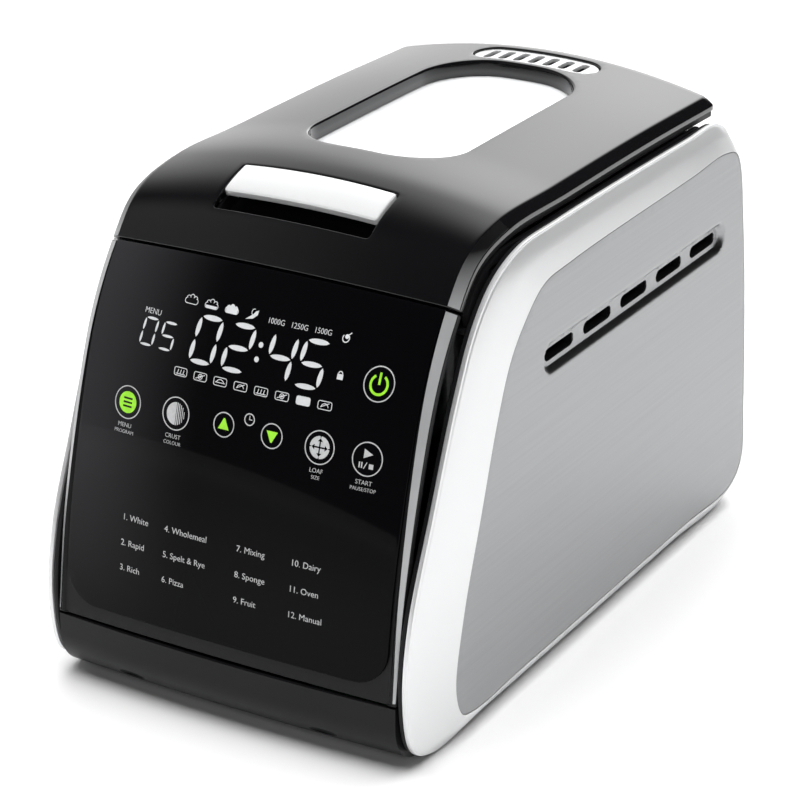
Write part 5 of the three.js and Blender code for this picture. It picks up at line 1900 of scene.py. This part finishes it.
class BREADMACHINE_OT_inside(Maker):
    """Make the bread pan and its folding bail"""

    bl_idname = "bread_machine.inside"
    bl_label = "Pan and bail"

    def execute(self, context):
        half_x, half_y, middle = 66.0, 100.0, 25.0
        bottom, rim, wall, spread = 106.0, 226.0, 1.5, 4.0
        section = [
            (-7, bottom), (-5, bottom + 0.5), (-4.2, bottom + 1.6), (-3.9, bottom + 3.5),
            (-0.1, rim - 3),
            (0.6, rim - 2.2), (3.4, rim - 2), (3.95, rim - 1.4), (3.95, rim - 0.6),
            (3.4, rim - 0.05),
            (-0.7, rim - 0.05), (-1.4, rim - 0.7), (-1.6, rim - 3), (-spread - 1.4, bottom + 4.5),
            (-spread - 1.9, bottom + 2.6), (-spread - 3.4, bottom + 1.7),
            (-spread - 5.5, bottom + wall),
        ]
        flat_x, flat_y = half_x - PAN_CORNER, half_y - PAN_CORNER
        rings = []
        for grow, z in section:
            radius = PAN_CORNER + grow
            plan = [
                (
                    across * flat_x + radius * math.cos(a),
                    middle + along * flat_y + radius * math.sin(a),
                )
                for quarter, (across, along) in enumerate(((1, 1), (-1, 1), (-1, -1), (1, -1)))
                for a in np.linspace(quarter, quarter + 1, PAN_CORNER_POINTS) * math.pi / 2
            ]
            rings.append(np.column_stack([plan, np.full(len(plan), z)]))
        tub = lofted(rings)
        ears = []
        for side in (-1, 1):
            plan = rectangle(middle - 7, middle + 7, 212, rim - 1.2, 3.0, 30)
            across = [half_x - 1, half_x + 3.6, half_x + 4]
            shrink = [0, 0, 0.4]
            ears.append(lofted([
                np.column_stack([np.full(len(plan), side * x), plan + inwards(plan) * less])
                for x, less in zip(across, shrink)
            ]))
        belonging(
            piece("pan_body", *merged(tub, *ears), FINISH["pan_coating"]), "pan", "pan_coating",
            "bread_pan",
        )

        arm, rise, wide, wire, pivot = 34.0, 12.0, 74.0, 2.15, 218.0
        bar_y, bar_z = middle - math.sqrt(arm**2 - rise**2), pivot + rise
        half = [
            (half_x + 1.5, middle, pivot), (wide - 2.5, middle, pivot),
            (wide, middle - 3, pivot + 1.1),
            (wide, bar_y + 6, bar_z - 2.2), (wide - 5, bar_y, bar_z), (wide - 24, bar_y, bar_z),
        ]
        path = spline(half + [(-x, y, z) for x, y, z in half[::-1]], False, 8)
        belonging(
            piece("pan_bail", *tube(path, wire, 14), FINISH["zinc"]), "bail", "zinc", "pan_handle",
        )
        return {"FINISHED"}


# ---------------------------------------------------------------- stage

CAMERA_PLACE = (0.774, -1.3305, 0.786)
CAMERA_AIM = (0, -0.0129, 0.1222)
FLOOR_FADE = (1.6, 5.0)  # distances in metres over which the floor turns into the white backdrop

# What gloss sees of the room: where each glow starts and where it is full, along one axis.
BEHIND_ALONG_Y = (-0.05, 0.8)
BEHIND_ALONG_Z = (0.97, 0.5)
BEHIND_ALONG_X = (0.12, -0.16)
BEHIND_DIMMED_X = (-0.62, -0.2)
LEFT_ALONG_X = (-0.2, -0.75)
LEFT_ALONG_Y = (0.1, -0.3)
LOW_ALONG_Z = (0.55, 0.0)
LOW_BRIGHTNESS = 0.85
BEHIND_DIMMED_TO = 0.42
BEHIND_RECOVERS = 0.75


class BREADMACHINE_OT_stage(bpy.types.Operator):
    """Set up the floor, the lights, the room and the camera"""

    bl_idname = "bread_machine.stage"
    bl_label = "Studio"

    def execute(self, context):
        studio = context.scene.bread_machine_studio
        self.floor(context.scene.bread_machine_colours.floor)
        self.light("overhead", studio.overhead, (0, 0.3, 3.4), (0, 0, 0), 5.0, glossy=False)
        self.light(
            "rear_panel", studio.rear_panel, (-1.9, 3.0, 0.75), (0, 0, 0.15), 2.2, glossy=False,
        )
        self.light("front_fill", studio.fill, (1.6, -2.8, 1.6), (0, 0, 0.15), 1.5, glossy=False)
        world = bpy.data.worlds.new("room")
        context.scene.world = world
        world.use_nodes = True
        self.room(world.node_tree, studio)
        context.scene.view_settings.view_transform = "Standard"
        camera = bpy.data.objects.new("camera", bpy.data.cameras.new("camera"))
        context.scene.collection.objects.link(camera)
        camera.data.lens = studio.lens
        camera.data.sensor_width = 36
        camera.location = CAMERA_PLACE
        aim = Vector(CAMERA_AIM) - camera.location
        camera.rotation_euler = aim.to_track_quat("-Z", "Y").to_euler()
        context.scene.camera = camera
        return {"FINISHED"}

    def room(self, group, studio):
        """An even room for diffuse light, seen as white; gloss sees glows low behind and left."""
        direction = node(group, "ShaderNodeTexCoord").outputs["Generated"]
        axes = node(group, "ShaderNodeSeparateXYZ", {0: direction})

        def ramp(socket, low, high, end):
            return node(group, "ShaderNodeMapRange", {
                "Value": axes.outputs[socket], "From Min": low, "From Max": high, "To Max": end,
            }, interpolation_type="SMOOTHSTEP").outputs[0]

        def times(a, b, operation="MULTIPLY"):
            return node(group, "ShaderNodeMath", {0: a, 1: b}, operation=operation).outputs[0]

        behind = times(ramp("Y", *BEHIND_ALONG_Y, studio.behind), ramp("Z", *BEHIND_ALONG_Z, 1.0))
        dimmed = times(ramp("X", *BEHIND_DIMMED_X, BEHIND_RECOVERS), BEHIND_DIMMED_TO, "ADD")
        behind = times(times(behind, dimmed), ramp("X", *BEHIND_ALONG_X, 1.0))
        left = times(ramp("X", *LEFT_ALONG_X, studio.left), ramp("Y", *LEFT_ALONG_Y, 1.0))
        low = ramp("Z", *LOW_ALONG_Z, LOW_BRIGHTNESS)
        seen = times(times(times(behind, left, "ADD"), low, "ADD"), studio.world, "ADD")
        glossy = node(group, "ShaderNodeLightPath").outputs["Is Glossy Ray"]
        strength = node(group, "ShaderNodeMix", {0: glossy, 2: studio.world, 3: seen}).outputs[0]
        camera = node(group, "ShaderNodeLightPath").outputs["Is Camera Ray"]
        strength = node(group, "ShaderNodeMix", {0: camera, 2: strength, 3: 1.0}).outputs[0]
        group.links.new(strength, group.nodes["Background"].inputs["Strength"])

    def floor(self, colour):
        half = 14.0
        mesh = bpy.data.meshes.new("floor")
        mesh.from_pydata(
            [(-half, -half, 0), (half, -half, 0), (half, half, 0), (-half, half, 0)], [],
            [[0, 1, 2, 3]],
        )
        material = finish("floor", colour, (0.6, 0.7), variation=0.01, mottle={"Scale": 1.5})
        group = material.node_tree
        shader = group.nodes["Principled BSDF"]
        away = node(group, "ShaderNodeVectorMath", {
            0: node(group, "ShaderNodeTexCoord").outputs["Object"],
        }, operation="LENGTH")
        far = node(group, "ShaderNodeMapRange", {
            "Value": away.outputs["Value"], "From Min": FLOOR_FADE[0], "From Max": FLOOR_FADE[1],
        }, interpolation_type="SMOOTHSTEP")
        group.links.new(far.outputs[0], shader.inputs["Emission Color"])
        shader.inputs["Emission Strength"].default_value = 1.0
        mesh.materials.append(material)
        floor = bpy.data.objects.new("floor", mesh)
        bpy.context.scene.collection.objects.link(floor)

    def light(self, name, power, place, aim, size, glossy=True):
        data = bpy.data.lights.new(name, "AREA")
        data.energy = power
        data.size = size
        lamp = bpy.data.objects.new(name, data)
        bpy.context.scene.collection.objects.link(lamp)
        lamp.location = place
        lamp.rotation_euler = (Vector(aim) - Vector(place)).to_track_quat("-Z", "Y").to_euler()
        lamp.visible_glossy = glossy


class BREADMACHINE_PT_panel(bpy.types.Panel):
    """Sidebar panel with every step of the build"""

    bl_idname = "BREADMACHINE_PT_panel"
    bl_label = "Bread machine"
    bl_space_type = "VIEW_3D"
    bl_region_type = "UI"
    bl_category = "Bread machine"

    def draw(self, context):
        for operator in OPERATORS:
            self.layout.operator(operator.bl_idname)
        for settings in ("sizes", "colours", "studio"):
            holder = getattr(context.scene, "bread_machine_" + settings)
            box = self.layout.box()
            for name in holder.__annotations__:
                box.prop(holder, name)


SETTINGS = {
    "sizes": BreadMachineSizes, "colours": BreadMachineColours, "studio": BreadMachineStudio,
}
OPERATORS = (
    BREADMACHINE_OT_finishes, BREADMACHINE_OT_lid, BREADMACHINE_OT_front, BREADMACHINE_OT_display,
    BREADMACHINE_OT_sides, BREADMACHINE_OT_body, BREADMACHINE_OT_inside, BREADMACHINE_OT_stage,
)


def register():
    for cls in (*SETTINGS.values(), *OPERATORS, BREADMACHINE_PT_panel):
        bpy.utils.register_class(cls)
    for name, cls in SETTINGS.items():
        setattr(bpy.types.Scene, "bread_machine_" + name, bpy.props.PointerProperty(type=cls))


def unregister():
    for name in SETTINGS:
        delattr(bpy.types.Scene, "bread_machine_" + name)
    for cls in reversed((*SETTINGS.values(), *OPERATORS, BREADMACHINE_PT_panel)):
        bpy.utils.unregister_class(cls)


def main():
    register()
    for operator in OPERATORS:
        category, name = operator.bl_idname.split(".")
        getattr(getattr(bpy.ops, category), name)()


if __name__ == "__main__":
    main()
